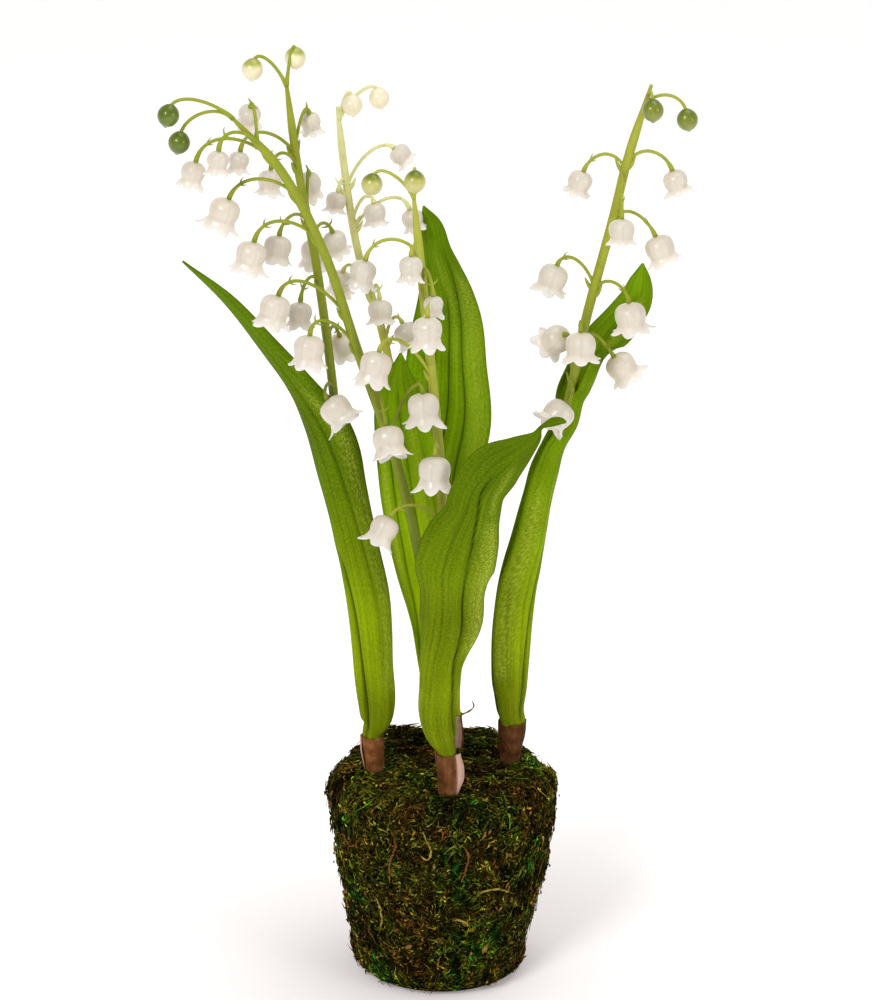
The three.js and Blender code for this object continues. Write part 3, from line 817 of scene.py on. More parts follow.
def tape_finish():
    """Brown crepe paper tape wound round the stem, pinkish where its dull side shows."""
    finish = Finish("crepe_tape", Specular_IOR_Level=0.1)
    flap = finish.written("flap")
    stain = finish.clouds(finish.place(), 260, 4)
    crepe = finish.clouds(finish.stretched(finish.place(), (1500, 1500, 420)), 1, 3)
    fibre = finish.clouds(finish.place(), 2600, 2)
    paper = finish.ramp(stain, [(0.3, srgb(92, 50, 20)), (0.5, srgb(130, 80, 42)), (0.7, srgb(156, 106, 66))])
    # Each tape's tone is partly its own colour and partly painted shade.
    creped = paper * finish.written("tone") * (0.4 + 1.1 * crepe)
    dull_side = finish.mix(crepe, srgb(186, 146, 128), srgb(224, 186, 168))
    return finish.done(
        Base_Color=finish.mix(flap * 0.9, creped, dull_side),
        Roughness=0.85 + 0.1 * fibre,
        Normal=finish.bump(crepe + fibre * 0.3, 0.8, 0.0005),
    )


def moss_bed_shade_finish():
    """The packed underside of the moss that shows between its strands, painted nearly black as the shade
    there.
    """
    finish = Finish("moss_bed_painted_shade", Specular_IOR_Level=0.0)
    clumps = finish.clouds(finish.place(), 180, 4)
    fibre = finish.clouds(finish.place(), 1600, 4)
    bed_shade = finish.ramp(
        clumps + (fibre - 0.5) * 0.9,
        [(0.35, srgb(8, 7, 1)), (0.5, srgb(24, 21, 4)), (0.65, srgb(44, 38, 8)), (0.85, srgb(66, 60, 16))],
    )
    return finish.done(
        Base_Color=bed_shade,
        Roughness=0.92 + 0.06 * fibre,
        Normal=finish.bump(fibre + clumps, 1.0, 0.001),
    )


def moss_strand_finish():
    """Dried moss, from bark brown through olive to fresh green, each strand its own colour, with painted
    light and shade on it.
    """
    finish = Finish("moss_strands", Specular_IOR_Level=0.06)
    fresh = finish.written("fresh")
    light = finish.written("light")
    fibre = finish.clouds(finish.place(), 2400, 2)
    hue = finish.ramp(
        fresh,
        [
            (0.0, srgb(140, 84, 30)),
            (0.2, srgb(132, 104, 34)),
            (0.42, srgb(132, 126, 34)),
            (0.6, srgb(128, 138, 32)),
            (0.78, srgb(88, 134, 22)),
            (1.0, srgb(34, 120, 34)),
        ],
    )
    # Each strand is scaled by its own tone and by the light and shade painted on it.
    return finish.done(
        Base_Color=hue * light * (0.4 + 1.2 * fibre),
        Roughness=0.75 + 0.2 * fibre,
        Normal=finish.bump(fibre, 0.4, 0.0004),
    )


def bark_finish():
    """Bark crumbs and dry curls of root in the moss."""
    finish = Finish("bark_crumbs", Specular_IOR_Level=0.1)
    straw = finish.written("straw")
    fibre = finish.clouds(finish.stretched(finish.place(), (900, 900, 1800)), 1, 4)
    brown = finish.ramp(fibre, [(0.35, srgb(66, 38, 14)), (0.65, srgb(142, 88, 40))])
    dry = finish.ramp(fibre, [(0.35, srgb(96, 84, 22)), (0.65, srgb(176, 158, 70))])
    return finish.done(
        Base_Color=finish.mix(straw, brown, dry),
        Roughness=0.7 + 0.2 * fibre,
        Normal=finish.bump(fibre, 0.6, 0.0005),
    )


def foam_finish():
    """Dry floral foam: fine crumbly cells."""
    finish = Finish("dry_foam", Specular_IOR_Level=0.1)
    cells = finish.node("ShaderNodeTexVoronoi", {}, {"Vector": finish.place(), "Scale": 1600}, "Distance")
    clumps = finish.clouds(finish.place(), 90, 3)
    colour = finish.ramp(clumps + cells * 0.3, [(0.35, srgb(96, 84, 56)), (0.75, srgb(140, 126, 88))])
    return finish.done(
        Base_Color=colour,
        Roughness=0.9 + 0.08 * clumps,
        Normal=finish.bump(cells, 0.7, 0.0005),
    )


# ---- Block -----------------------------------------------------------------------------------


def block_radius(z):
    return lerp(BLOCK_BOTTOM_RADIUS, BLOCK_TOP_RADIUS, z / BLOCK_HEIGHT)


def block_profile():
    """The block's outline as [radius, z] from the foam's edge underneath to the middle of the top."""
    shoulder = BLOCK_HEIGHT - BLOCK_RIM_ROUNDING
    outline = [(block_radius(0) - MOSS_THICKNESS, 0), (block_radius(0) - 2.5, 0.1)]
    outline.append((block_radius(2) - 0.6, 2))
    outline += [(block_radius(z), z) for z in np.linspace(5, shoulder, 8)]
    for degrees in (15, 30, 45, 60, 75, 90):
        angle = math.radians(degrees)
        radius = block_radius(shoulder) - BLOCK_RIM_ROUNDING * (1 - math.cos(angle))
        outline.append((radius, shoulder + BLOCK_RIM_ROUNDING * math.sin(angle)))
    outline += [(14, BLOCK_HEIGHT + 0.6), (0.05, BLOCK_HEIGHT + 0.8)]
    points = np.array([(radius, z, 0) for radius, z in outline])
    return evenly(points, 400)[:, :2]


PROFILE = block_profile()
PROFILE_SLOPE = np.gradient(PROFILE, axis=0)
PROFILE_SLOPE /= np.linalg.norm(PROFILE_SLOPE, axis=1)[:, None]


def cavity(point):
    """From -1 in the gaps between the tufts of moss to 1 on top of them."""
    return noise.noise(point * 0.34 + Vector((1, 7, 5))) + 0.6 * noise.noise(point * 0.8 + Vector((3, 2, 8)))


def relief(point):
    """Height of the moss over the block's smooth outline."""
    broad = noise.noise(point * 0.075) * 1.1
    tufts = noise.noise(point * 0.17 + Vector((9, 4, 2))) * 1.9
    swell = 0
    for *place, reach, height in SWELLS:
        swell += height * math.exp(-(((point - Vector(place)).length / reach) ** 2))
    return broad + tufts + 1.2 * cavity(point) + swell


def block_surface(heading, along, lift=0.0):
    """A point on the moss, and the directions round the block, up its outline and out of it."""
    step = along * (len(PROFILE) - 1)
    radius, z = PROFILE[round(step)]
    slope_out, slope_up = PROFILE_SLOPE[round(step)]
    outward = heading_vector(heading)
    around = Vector((0, 0, 1)).cross(outward)
    upward = outward * slope_out + Vector((0, 0, slope_up))
    normal = outward * slope_up - Vector((0, 0, slope_out))
    point = outward * radius + Vector((0, 0, z))
    raised = relief(point) * smooth_step(0, 6, z) + lift
    return point + normal * raised, around, upward, normal


def along_at(z):
    """How far up the outline the side reaches height z."""
    side = PROFILE[:, 1].searchsorted(z)
    return side / (len(PROFILE) - 1)


def moss_bed(finish):
    """The lumpy skin of packed moss round the foam."""
    around = 170
    rings = 100
    bm = bmesh.new()
    bmesh.ops.create_grid(bm, x_segments=around, y_segments=rings, size=0.5)
    for vert in bm.verts:
        heading = (vert.co.x + 0.5) * 360
        vert.co = block_surface(heading, vert.co.y + 0.5, -0.7)[0]
    bmesh.ops.remove_doubles(bm, verts=bm.verts[:], dist=0.02)
    bmesh.ops.recalc_face_normals(bm, faces=bm.faces[:])
    centre = Vector((0, 0, BLOCK_HEIGHT / 2))
    bm.faces.ensure_lookup_table()
    outer = bm.faces[len(bm.faces) // 2]
    if outer.normal.dot(outer.calc_center_median() - centre) < 0:
        bmesh.ops.reverse_faces(bm, faces=bm.faces[:])
    thicken(bm, lambda vert: 3.0)
    finish_piece("moss_bed", bm, finish, ["moss_wrap"])


def strand_shape():
    """One strand along +Z from 0 to 1, its radius beaded like the leaves on a moss stem."""
    beads = (0.8, 1.1, 0.7, 0.2)
    path = [Vector((0, 0, i / (len(beads) - 1))) for i in range(len(beads))]
    return as_mesh("moss_strand", tube(path, lambda t: beads[round(t * (len(beads) - 1))], 3))


def sprig_shape():
    """One feathered sprig along +Z from 0 to 1: a stem with pointed leaflets down both sides."""
    parts = [tube([Vector((0, 0, i / 4)) for i in range(5)], lambda t: 0.55 - 0.4 * t, 3)]
    for i in range(10):
        side = 1 if i % 2 else -1
        z = 0.08 + 0.085 * i
        length = 3.6 * math.sin(math.pi * (0.25 + 0.065 * i))
        leaflet = bmesh.new()
        bmesh.ops.create_cone(leaflet, cap_ends=True, segments=3, radius1=1, radius2=0.1, depth=1)
        for vert in leaflet.verts:
            along = vert.co.z + 0.5
            vert.co = Vector((side * along * length, vert.co.x * 0.5, z + along * 0.13 + vert.co.y * 0.045))
        parts.append(leaflet)
    return as_mesh("moss_sprig", joined(parts))


def moss_strands(name, shape, seed, count, headings, reaches, size, finish):
    """A mat of strands lying every way over part of the block; each keeps its own colour and its painted
    light and shade.

    size is [shortest, longest, thinnest, thickest, how much fresher].
    """
    draw = np.random.default_rng(seed)
    bm = bmesh.new()
    for _ in range(count):
        bm.from_mesh(shape)
    mesh = as_mesh(name, bm)
    unit = np.array([vert.co for vert in shape.vertices])
    z = unit[:, 2]
    shortest, longest, thinnest, thickest, fresher = size
    places = np.empty((count, len(unit), 3))
    fresh = np.empty((count, len(unit)))
    light = np.empty((count, len(unit)))
    for i in range(count):
        along = draw.uniform(*reaches)
        if reaches[1] > 0.9:
            along = 1 - (1 - reaches[0]) * math.sqrt(draw.uniform(0.0, 1))
        root, around, upward, normal = block_surface(draw.uniform(*headings), min(along, 0.999), -0.5)
        turn = draw.uniform(0, 2 * math.pi)
        if root[2] < 7:
            turn = abs(turn - math.pi)
        forward = around * math.cos(turn) + upward * math.sin(turn)
        sideways = around * -math.sin(turn) + upward * math.cos(turn)
        length = shortest + (longest - shortest) * draw.random() ** 2
        rise = draw.uniform(0.1, 0.6) * smooth_step(-3, 8, root[2])
        leave = forward + normal * rise
        bend = sideways * draw.uniform(-1.6, 1.6) - normal * rise * draw.uniform(0.6, 1.2)
        bend -= forward * draw.uniform(0, 0.6)
        wave = sideways * draw.uniform(-1.2, 1.2)
        girth = draw.uniform(thinnest, thickest)
        line = np.array(root) + (np.outer(z, leave) + np.outer(z**2, bend) + np.outer(z**3, wave)) * length
        ring = unit[:, 0:1] * np.array(sideways) + unit[:, 1:2] * np.array(normal)
        places[i] = line + ring * girth
        places[i, :, 2] = np.maximum(places[i, :, 2], 0.2)
        shade, bright = strand_shade(root, draw)
        fresh[i] = clamp(shade + fresher)
        # Painted shade: each strand is darker towards its root, deeper in the moss.
        light[i] = bright * (0.3 + 0.7 * np.sin(np.pi * np.clip(z + 0.08, 0, 0.75)))
    mesh.vertices.foreach_set("co", (places * MM).ravel())
    for label, values in (("fresh", fresh), ("light", light)):
        attribute = mesh.attributes.new(label, "FLOAT", "POINT")
        attribute.data.foreach_set("value", values.ravel())
    mesh.update()
    place_mesh(name, mesh, finish)


def strand_shade(root, draw):
    """How fresh a strand is and how light it is painted, from where it grows and its own draw: painted shade
    in the gaps between the tufts, painted light on top of them and on the lighter patches, and its own tone
    from the draw.
    """
    fresh = 0.36 + 0.4 * noise.noise(root * 0.09 + Vector((5, 0, 3)))
    fresh = fresh + 0.35 * noise.noise(root * 0.3) + draw.normal(0, 0.13)
    # Painted light and shade: lighter on top of the tufts, darker in the gaps between them.
    light = 0.4 + 0.6 * cavity(root) + 0.35 * noise.noise(root * 0.13 + Vector((2, 2, 9)))
    for x, y, z, radius, fresher, lighter_and_lit in PATCHES:
        nearness = clamp(1.5 - (root - Vector((x, y, z))).length / radius * 1.1)
        nearness *= clamp(0.7 + noise.noise(root * 0.4))
        fresh += fresher * nearness
        light += lighter_and_lit * nearness
    return clamp(fresh), clamp(light, 0.08, 1.5) * math.exp(draw.normal(-0.5, 0.85))


def moss_scraps(finish):
    """Curls of root, straws and bark crumbs lying on the moss, and a tendril standing up behind."""
    draw = np.random.default_rng(5)
    # Unseeded, noise_vector starts from the clock and the curls would differ on every run.
    noise.seed_set(5)
    parts = []
    for kind, curls in CURLS.items():
        for curl in curls:
            points = [block_surface(heading, along_at(z), draw.uniform(0.5, 1.0))[0] for heading, z in curl]
            path = evenly(smooth_rows(points, 8), 18)
            for i, point in enumerate(path):
                point += np.array(noise.noise_vector(Vector(point) * 0.5 + Vector((i * 0.7, 0, 0)))) * 0.4
            wander = draw.uniform(0, 6)

            def girth(t, wander=wander):
                knobbly = 0.07 * math.sin(23 * t + wander) + 0.05 * math.sin(51 * t)
                return 0.34 * (1 - 0.7 * abs(2 * t - 1) ** 3) + knobbly

            scrap = tube(path, girth, 6)
            mark(scrap, "straw", 1.0 if kind == "straw" else 0.0)
            parts.append(scrap)
    tendril = [(2, 30, 66), (4.5, 31, 68.6), (6.5, 31, 69.4), (9, 31, 70.6), (10.4, 31, 72.2), (9.8, 31, 74)]
    curl = tube(evenly(smooth_rows(tendril, 8), 24), lambda t: 0.42 - 0.24 * t + 0.06 * math.sin(30 * t), 6)
    mark(curl, "straw", 0.55)
    parts.append(curl)
    crumbs = [(draw.uniform(0, 360), draw.uniform(3, 62), draw.uniform(0.5, 1.3)) for _ in range(CRUMBS)]
    for heading, z, size in FLAKES + crumbs:
        point, around, upward, normal = block_surface(heading, along_at(z), draw.uniform(0.5, 1.0))
        turn = draw.uniform(0, math.pi)
        lengthwise = around * math.cos(turn) + upward * math.sin(turn)
        crosswise = upward * math.cos(turn) - around * math.sin(turn)
        tilt = (normal + lengthwise * draw.uniform(-0.5, 0.5)).normalized()
        flake = bmesh.new()
        bmesh.ops.create_cone(flake, cap_ends=True, segments=7, radius1=1, radius2=0.7, depth=0.4)
        for vert in flake.verts:
            jag = 1 + 0.6 * noise.noise(Vector((vert.co.x * 2, vert.co.y * 2, heading)))
            flat = lengthwise * vert.co.x * size * 0.8 * jag + crosswise * vert.co.y * size * 0.4 * jag
            vert.co = point + flat + tilt * vert.co.z
        mark(flake, "straw", draw.uniform(0, 0.6))
        parts.append(flake)
    finish_piece("moss_scraps", joined(parts), finish)


# ---- Pips ------------------------------------------------------------------------------------


def axis_point(pip, z):
    """The pip's straight foot: the point of its axis at height z."""
    above = z - BLOCK_HEIGHT
    x, y = pip["foot"]
    lean_x, lean_y = pip["lean"]
    return Vector((x + lean_x * above, y + lean_y * above, z))


def stem_path(pip):
    foot = [axis_point(pip, z) for z in (STEM_FOOT_Z, 45, 62, pip["tape_top"], pip["tape_top"] + 8)]
    return smooth_rows([tuple(point) for point in foot] + pip["stem"], 12)


def point_at_height(path, z):
    return Vector([np.interp(z, path[:, 2], path[:, axis]) for axis in range(3)])


def sheath_radius(pip, z):
    """The leaf's roll inside the tape is tight in the moss and wider at the tape's top."""
    low, high = pip["sheath"]
    return lerp(low, high, smooth_step(SHEATH_SPREAD_Z, pip["tape_top"] - 2, z))


def leaf_rows(pip):
    """The leaf's foot is rolled round the stem inside the tape; the rows above open it out."""
    heading = pip["leaf"][0][5]
    top = pip["tape_top"]
    rows = []
    for z in (SHEATH_FOOT_Z + 1, SHEATH_SPREAD_Z, (SHEATH_SPREAD_Z + top) / 2, top - 1, top + 0.6):
        radius = sheath_radius(pip, z)
        rib = axis_point(pip, z) + heading_vector(heading) * radius
        rows.append((*rib, radius * math.radians(SHEATH_CURL), SHEATH_CURL, heading))
    *body, tip = pip["leaf"]
    return rows + body + [(*tip[:3], 0.4, *tip[4:])]


def along_line(line, across, z):
    """How far across the blade a point is from a line of (across, z), and how present the line is there."""
    heights = [point[1] for point in line]
    here = (z - heights[0]) / (heights[-1] - heights[0])
    presence = smooth_step(0, 0.1, here) * smooth_step(1, 0.85, here)
    return abs(across - np.interp(z, heights, [point[0] for point in line])), presence


def crease_at(pip, across, z):
    """Depth of the folds at a place on the leaf, and the shade painted along them."""
    depth = 0
    painted_shade = 0
    for deep, half, *line in pip["creases"]:
        away, presence = along_line(line, across, z)
        depth += deep * presence * math.exp(-away / half)
        # The dark core of each fold and the softer shadow beside it are painted shade.
        core = math.exp(-((away / half * 1.7) ** 2))
        shadow = 0.3 * math.exp(-((away / half / 2.2) ** 2))
        painted_shade = max(painted_shade, min(abs(deep), 1) * presence * max(core, shadow))
    return depth, painted_shade


# How strong the painted sheen is at a place on the leaf.
def sheen_at(pip, across, z):
    sheen = 0
    for strength, half, *line in pip["sheens"]:
        away, presence = along_line(line, across, z)
        sheen = max(sheen, strength * presence * math.exp(-((away / half) ** 2)))
    return sheen


def leaf(name, pip, finish):
    """A pleated blade rolled at its foot, thinner towards its edges."""
    rows = smooth_rows(leaf_rows(pip), 8)
    steps = len(rows) - 1
    tangents = np.gradient(rows[:, :3], axis=0)
    bm = bmesh.new()
    bm.loops.layers.uv.new("blade")
    crease = bm.verts.layers.float.new("crease")
    sheen = bm.verts.layers.float.new("sheen")
    edge = bm.verts.layers.float.new("edge")
    bmesh.ops.create_grid(bm, x_segments=52, y_segments=steps, size=0.5, calc_uvs=True)
    for vert in bm.verts:
        across = vert.co.x
        along = vert.co.y + 0.5
        x, y, z, width, curl, heading = rows[round(along * steps)]
        growth = Vector(tangents[round(along * steps)]).normalized()
        outward = heading_vector(heading)
        outward = (outward - growth * outward.dot(growth)).normalized()
        sideways = growth.cross(outward)
        angle = math.radians(curl) * across
        radius = width / math.radians(curl)
        fold, painted_shade = crease_at(pip, across, z)
        opened = smooth_step(0.16, 0.3, along) * smooth_step(1, 0.85, along)
        ripple = 0.4 * noise.noise(Vector((across * 5, z * 0.045, steps)))
        ripple += 0.12 * noise.noise(Vector((across * 14, z * 0.1, steps)))
        out = LEAF_THICKNESS / 2 - fold + ripple * opened
        turned = outward * ((radius + out) * math.cos(angle) - radius)
        turned += sideways * (radius + out) * math.sin(angle)
        vert.co = Vector((x, y, z)) + turned
        # Painted shade along the folds.
        vert[crease] = painted_shade
        # Painted sheen on the bands that catch the light.
        vert[sheen] = sheen_at(pip, across, z)
        vert[edge] = smooth_step(0.455, 0.5, abs(across))
    thicken(bm, lambda vert: lerp(LEAF_THICKNESS, LEAF_EDGE_THICKNESS, vert[edge]))
    # The light and shade painted along the leaf, by height.
    heights, painted_light_and_shade = zip(*pip["painted_light_and_shade"])
    mark(bm, "tone", lambda vert: np.interp(vert.co.z, heights, painted_light_and_shade))
    finish_piece(f"leaf_{name}_blade", bm, finish, [f"leaf_{name}"])


def bell_place(path, row):
    """Where a bell hangs: its root on the stem, its crown, and the way its mouth looks."""
    z, heading, reach, rise, width, tilt = row[:6]
    tilt_heading = row[6] if len(row) > 6 else heading
    root = point_at_height(path, z)
    outward = heading_vector(heading)
    crown = root + outward * reach
    crown.z = z + rise
    angle = math.radians(tilt)
    leaning = heading_vector(tilt_heading)
    axis = leaning * math.sin(angle) - Vector((0, 0, math.cos(angle)))
    return root, outward, crown, axis, width, reach


def pedicel(place):
    """The thin arching stalk of a bell, with its thickened end and a pair of tiny hooked bracts."""
    root, outward, crown, axis, _, reach = place
    end = crown - axis * 0.1
    leave = root + outward * reach * 0.3
    leave.z += max(end.z - root.z, 0) * 0.35 + 7.5
    arrive = end - axis * max(reach * (0.5 - 1.3 * (1 + axis.z)), 3.5)
    path = bezier(root, leave, arrive, end, 20)

    def radius_at(t):
        swelling = smooth_step(0.8, 0.97, t)
        foot = smooth_step(0.12, 0, t)
        return PEDICEL_RADIUS * (1 + 0.35 * foot) + (RECEPTACLE_RADIUS - PEDICEL_RADIUS) * swelling

    parts = [tube(path, radius_at, 8)]
    neck, tangent, across, _ = path_frames(path)[15]
    for side in (1, -1):
        way = across * side
        hook = [neck]
        for aside, back in ((0.9, 0.3), (1.7, 0.9), (2.1, 1.7)):
            hook.append(neck + way * aside - tangent * back)
        parts.append(tube(evenly(smooth_rows(hook, 3), 5), lambda t: 0.36 * (1 - t) + 0.05, 5))
    return parts


def bract(place):
    """The pointed scale under a pedicel's root, lying close to it."""
    root, outward, *_ = place
    start = root - Vector((0, 0, 1.2))
    bowed = start + outward * 1.5 + Vector((0, 0, 1.4))
    tip = start + outward * 2.9 + Vector((0, 0, BRACT_LENGTH))
    path = evenly(smooth_rows([start, bowed, tip], 5), 8)
    return tube(path, lambda t: 0.95 * math.sqrt(1 - t) * (1 - 0.3 * t) + 0.04, 6)


def bud(path, row):
    """A closed bud and its short arching stalk."""
    z, heading, reach, rise = row
    root = point_at_height(path, z)
    outward = heading_vector(heading)
    centre = root + outward * reach
    centre.z = z + rise
    leave = root + outward * reach * 0.3
    leave.z += max(rise, 0) * 0.5 + 5
    arrive = centre + Vector((0, 0, BUD_RADIUS * 2.5))
    line = bezier(root, leave, arrive, centre, 18)
    arch = tube(line, lambda t: PEDICEL_RADIUS * (1.5 - 0.5 * smooth_step(0, 0.2, t)), 8)
    ball = bmesh.new()
    bmesh.ops.create_uvsphere(ball, u_segments=36, v_segments=20, radius=1)
    turn = Vector((0, 0, 1)).rotation_difference((line[-4] - centre).normalized())
    for vert in ball.verts:
        angle = math.atan2(vert.co.y, vert.co.x)
        belly = 1 - vert.co.z**2
        ridge = 0.96 + 0.03 * belly * abs(math.cos(3 * angle))
        taper = 1 - 0.12 * max(vert.co.z, 0) ** 2
        shape = Vector((vert.co.x * ridge * taper, vert.co.y * ridge * taper, vert.co.z * 1.07)) * BUD_RADIUS
        if vert.co.z < -0.96:
            shape.z -= 0.3
        vert.co = centre + turn @ shape
    return arch, ball


def stalk(name, pip, path, places, finish):
    """The stem with its pedicels, scales and end buds, moulded in one."""
    low, high = pip["pale"]
    line = evenly(path, 110)
    top = line[-1][2]

    def radius_at(t):
        return min(lerp(STEM_FOOT_RADIUS, pip["stem_top_radius"], t), STEM_TIP_RADIUS + (1 - t) * 14)

    def ribbed(angle, t):
        return 1 + 0.05 * math.cos(3 * angle + 4 * t)

    def paleness(vert):
        return lerp(low, high, smooth_step(110, top, vert.co.z))

    arches, balls = zip(*(bud(path, row) for row in pip["buds"]))
    green = [tube(line, radius_at, 12, ribbed), *arches]
    for place in places:
        green += [*pedicel(place), bract(place)]
    for part in green:
        mark(part, "pale", paleness)
        mark(part, "bud", 0.0)
        mark(part, "blush", 0.0)
    for part in balls:
        foot = min(vert.co.z for vert in part.verts)

        def bud_paleness(vert, foot=foot):
            return pip["bud_pale"] * max(pip["bud_pale"] ** 6, smooth_step(7.2, 4.2, vert.co.z - foot))

        def bud_blush(vert, foot=foot):
            return 0.5 * smooth_step(5, 0, vert.co.z - foot) * pip["bud_pale"]

        mark(part, "pale", bud_paleness)
        mark(part, "bud", 1.0)
        mark(part, "blush", bud_blush)
    finish_piece(f"stalk_{name}_spray", joined([*green, *balls]), finish, [f"stalk_{name}"])


def bell_outline(large):
    """[radius, z] of a bell one wide, from its crown to its throat."""
    narrow = [(0, 0), (0.16, -0.02), (0.34, -0.09), (0.46, -0.23)]
    narrow += [(0.5, -0.42), (0.465, -0.62), (0.405, -0.75)]
    broad = [(0, 0), (0.17, -0.018), (0.355, -0.085), (0.467, -0.21)]
    broad += [(0.5, -0.38), (0.488, -0.56), (0.452, -0.7)]
    points = [(*lerp(Vector(a), Vector(b), large), 0) for a, b in zip(narrow, broad)]
    return evenly(smooth_rows(points, 8), 14)[:, :2]


def bell_shell(place, spin, skirt, draw):
    """A hollow bell: a globe drawn in at the throat, then a skirt flaring into six blunt lobes."""
    _, _, crown, axis, width, _ = place
    large = clamp((width - 6) / 3)
    outline = bell_outline(large)
    globe = len(outline) - 1
    rings = globe + 8
    reach = lerp(0.2, 0.24, large)
    drop = skirt * lerp(0.9, 1, large)
    splay = draw.uniform(0.6, 1.4, 6)
    sag = draw.uniform(0.85, 1.15, 6)
    bm = bmesh.new()
    lobe_layer = bm.verts.layers.float.new("lobe")
    crown_layer = bm.verts.layers.float.new("crown")
    rib_layer = bm.verts.layers.float.new("rib")
    bmesh.ops.create_grid(bm, x_segments=54, y_segments=rings, size=0.5)
    for vert in bm.verts:
        angle = (vert.co.x + 0.5) * 2 * math.pi
        ring = round((vert.co.y + 0.5) * rings)
        lobe = round(angle / (math.pi / 3)) % 6
        aside = (angle / (math.pi / 3) + 0.5) % 1 * 2 - 1
        down = clamp((ring - globe) / (rings - globe))
        ragged = 0.07 * noise.noise(Vector((angle * 4, spin * 9, width))) * (1 - abs(aside))
        point = 1 - 0.5 * abs(aside) ** 1.7 + ragged
        out = down * point
        centred = 1 - abs(aside)
        wide = lerp(1, splay[lobe], centred)
        radius, z = outline[min(ring, globe)]
        rib = lerp(0.045, 0.02, large) * math.sin(math.pi * min(ring / globe, 1))
        radius *= 1 + rib * (abs(math.cos(3 * angle)) - 0.5)
        flare = reach * wide * (0.45 * out + 0.65 * out**3)
        radius += flare + 0.03 * math.sin(math.pi * out) * (centred - 0.5)
        z -= drop * lerp(1, sag[lobe], centred) * (out - 0.1 * out**4)
        vert.co = Vector((math.cos(angle) * radius, math.sin(angle) * radius, z)) * width
        vert[lobe_layer] = out
        vert[crown_layer] = smooth_step(5, 0, ring)
        vert[rib_layer] = smooth_step(0.25, 0, abs(aside)) * smooth_step(1, 6, ring) * (1 - down)
    bmesh.ops.remove_doubles(bm, verts=bm.verts[:], dist=0.004)
    bmesh.ops.recalc_face_normals(bm, faces=bm.faces[:])
    top = min(bm.faces, key=lambda face: -face.calc_center_median().z)
    if top.normal.z < 0:
        bmesh.ops.reverse_faces(bm, faces=bm.faces[:])
    thicken(bm, lambda vert: lerp(0.5, 0.25, vert[lobe_layer]))
    turn = Vector((0, 0, -1)).rotation_difference(axis) @ Quaternion((0, 0, 1), spin)
    for vert in bm.verts:
        vert.co = crown + turn @ vert.co
    return bm


def bells(name, places, spins, skirt, draw, finish):
    shells = [bell_shell(place, next(spins) * math.pi, skirt, draw) for place in places]
    nodes = [f"bell_{name}_{i + 1}" for i in range(len(places))]
    finish_piece(f"bells_{name}", joined(shells), finish, nodes)


def tape(name, pip, finish):
    """Crepe tape wound round the leaf's foot, its end lifted as a small flap.

    A flap is the heading of the tape's end and how far it stands out.
    """
    bm = bmesh.new()
    flap = bm.verts.layers.float.new("flap")
    height = pip["tape_top"] - SHEATH_FOOT_Z
    bmesh.ops.create_grid(bm, x_segments=80, y_segments=26, size=0.5)
    lifted, peel_width = TAPE_FLAPS.get(name, USUAL_FLAP)
    for vert in bm.verts:
        turn = (vert.co.x + 0.5) * TAPE_TURN
        up = vert.co.y + 0.5
        snug = sheath_radius(pip, SHEATH_FOOT_Z + up * height) + LEAF_THICKNESS / 2 + TAPE_WALL
        wound = snug + TAPE_OVERLAP * smooth_step(20, 380, turn)
        peel = smooth_step(350, 400, turn) * smooth_step(0.48, 0.72, up) * (1 - 0.5 * smooth_step(0.8, 1, up))
        heading = lifted - TAPE_TURN + turn + 10 * peel
        wrinkle = 0.1 * noise.noise(Vector((turn * 0.16, up * 2.5, pip["tape_top"])))
        crumple = 0.12 * noise.noise(Vector((turn * 0.04, up * 7, pip["tape_top"])))
        outward = heading_vector(heading)
        ragged = 0.35 * noise.noise(Vector((turn * 0.05, 3, pip["foot"][0]))) * smooth_step(0.8, 1, up)
        z = SHEATH_FOOT_Z + up * height + ragged
        vert.co = axis_point(pip, z) + outward * (wound + wrinkle + crumple + peel_width * peel)
        vert[flap] = smooth_step(362, 372, turn) * smooth_step(0.44, 0.56, up)
    bmesh.ops.recalc_face_normals(bm, faces=bm.faces[:])
    bm.faces.ensure_lookup_table()
    face = bm.faces[0]
    if face.normal.dot(face.calc_center_median() - axis_point(pip, SHEATH_FOOT_Z)) < 0:
        bmesh.ops.reverse_faces(bm, faces=bm.faces[:])
    thicken(bm, lambda vert: TAPE_WALL)
    # How light the tape is: partly its own colour, partly painted shade.
    mark(bm, "tone", pip["tape_tone_and_shade"])
    finish_piece(f"tape_{name}_wrap", bm, finish, [f"tape_{name}"])


# ---- Stage, light and camera -----------------------------------------------------------------

# The floor, in metres: half its width, where it starts to curve up, and the curve's radius.
FLOOR_REACH = 4.2
FLOOR_FLAT = 1.6
FLOOR_BEND = 0.6


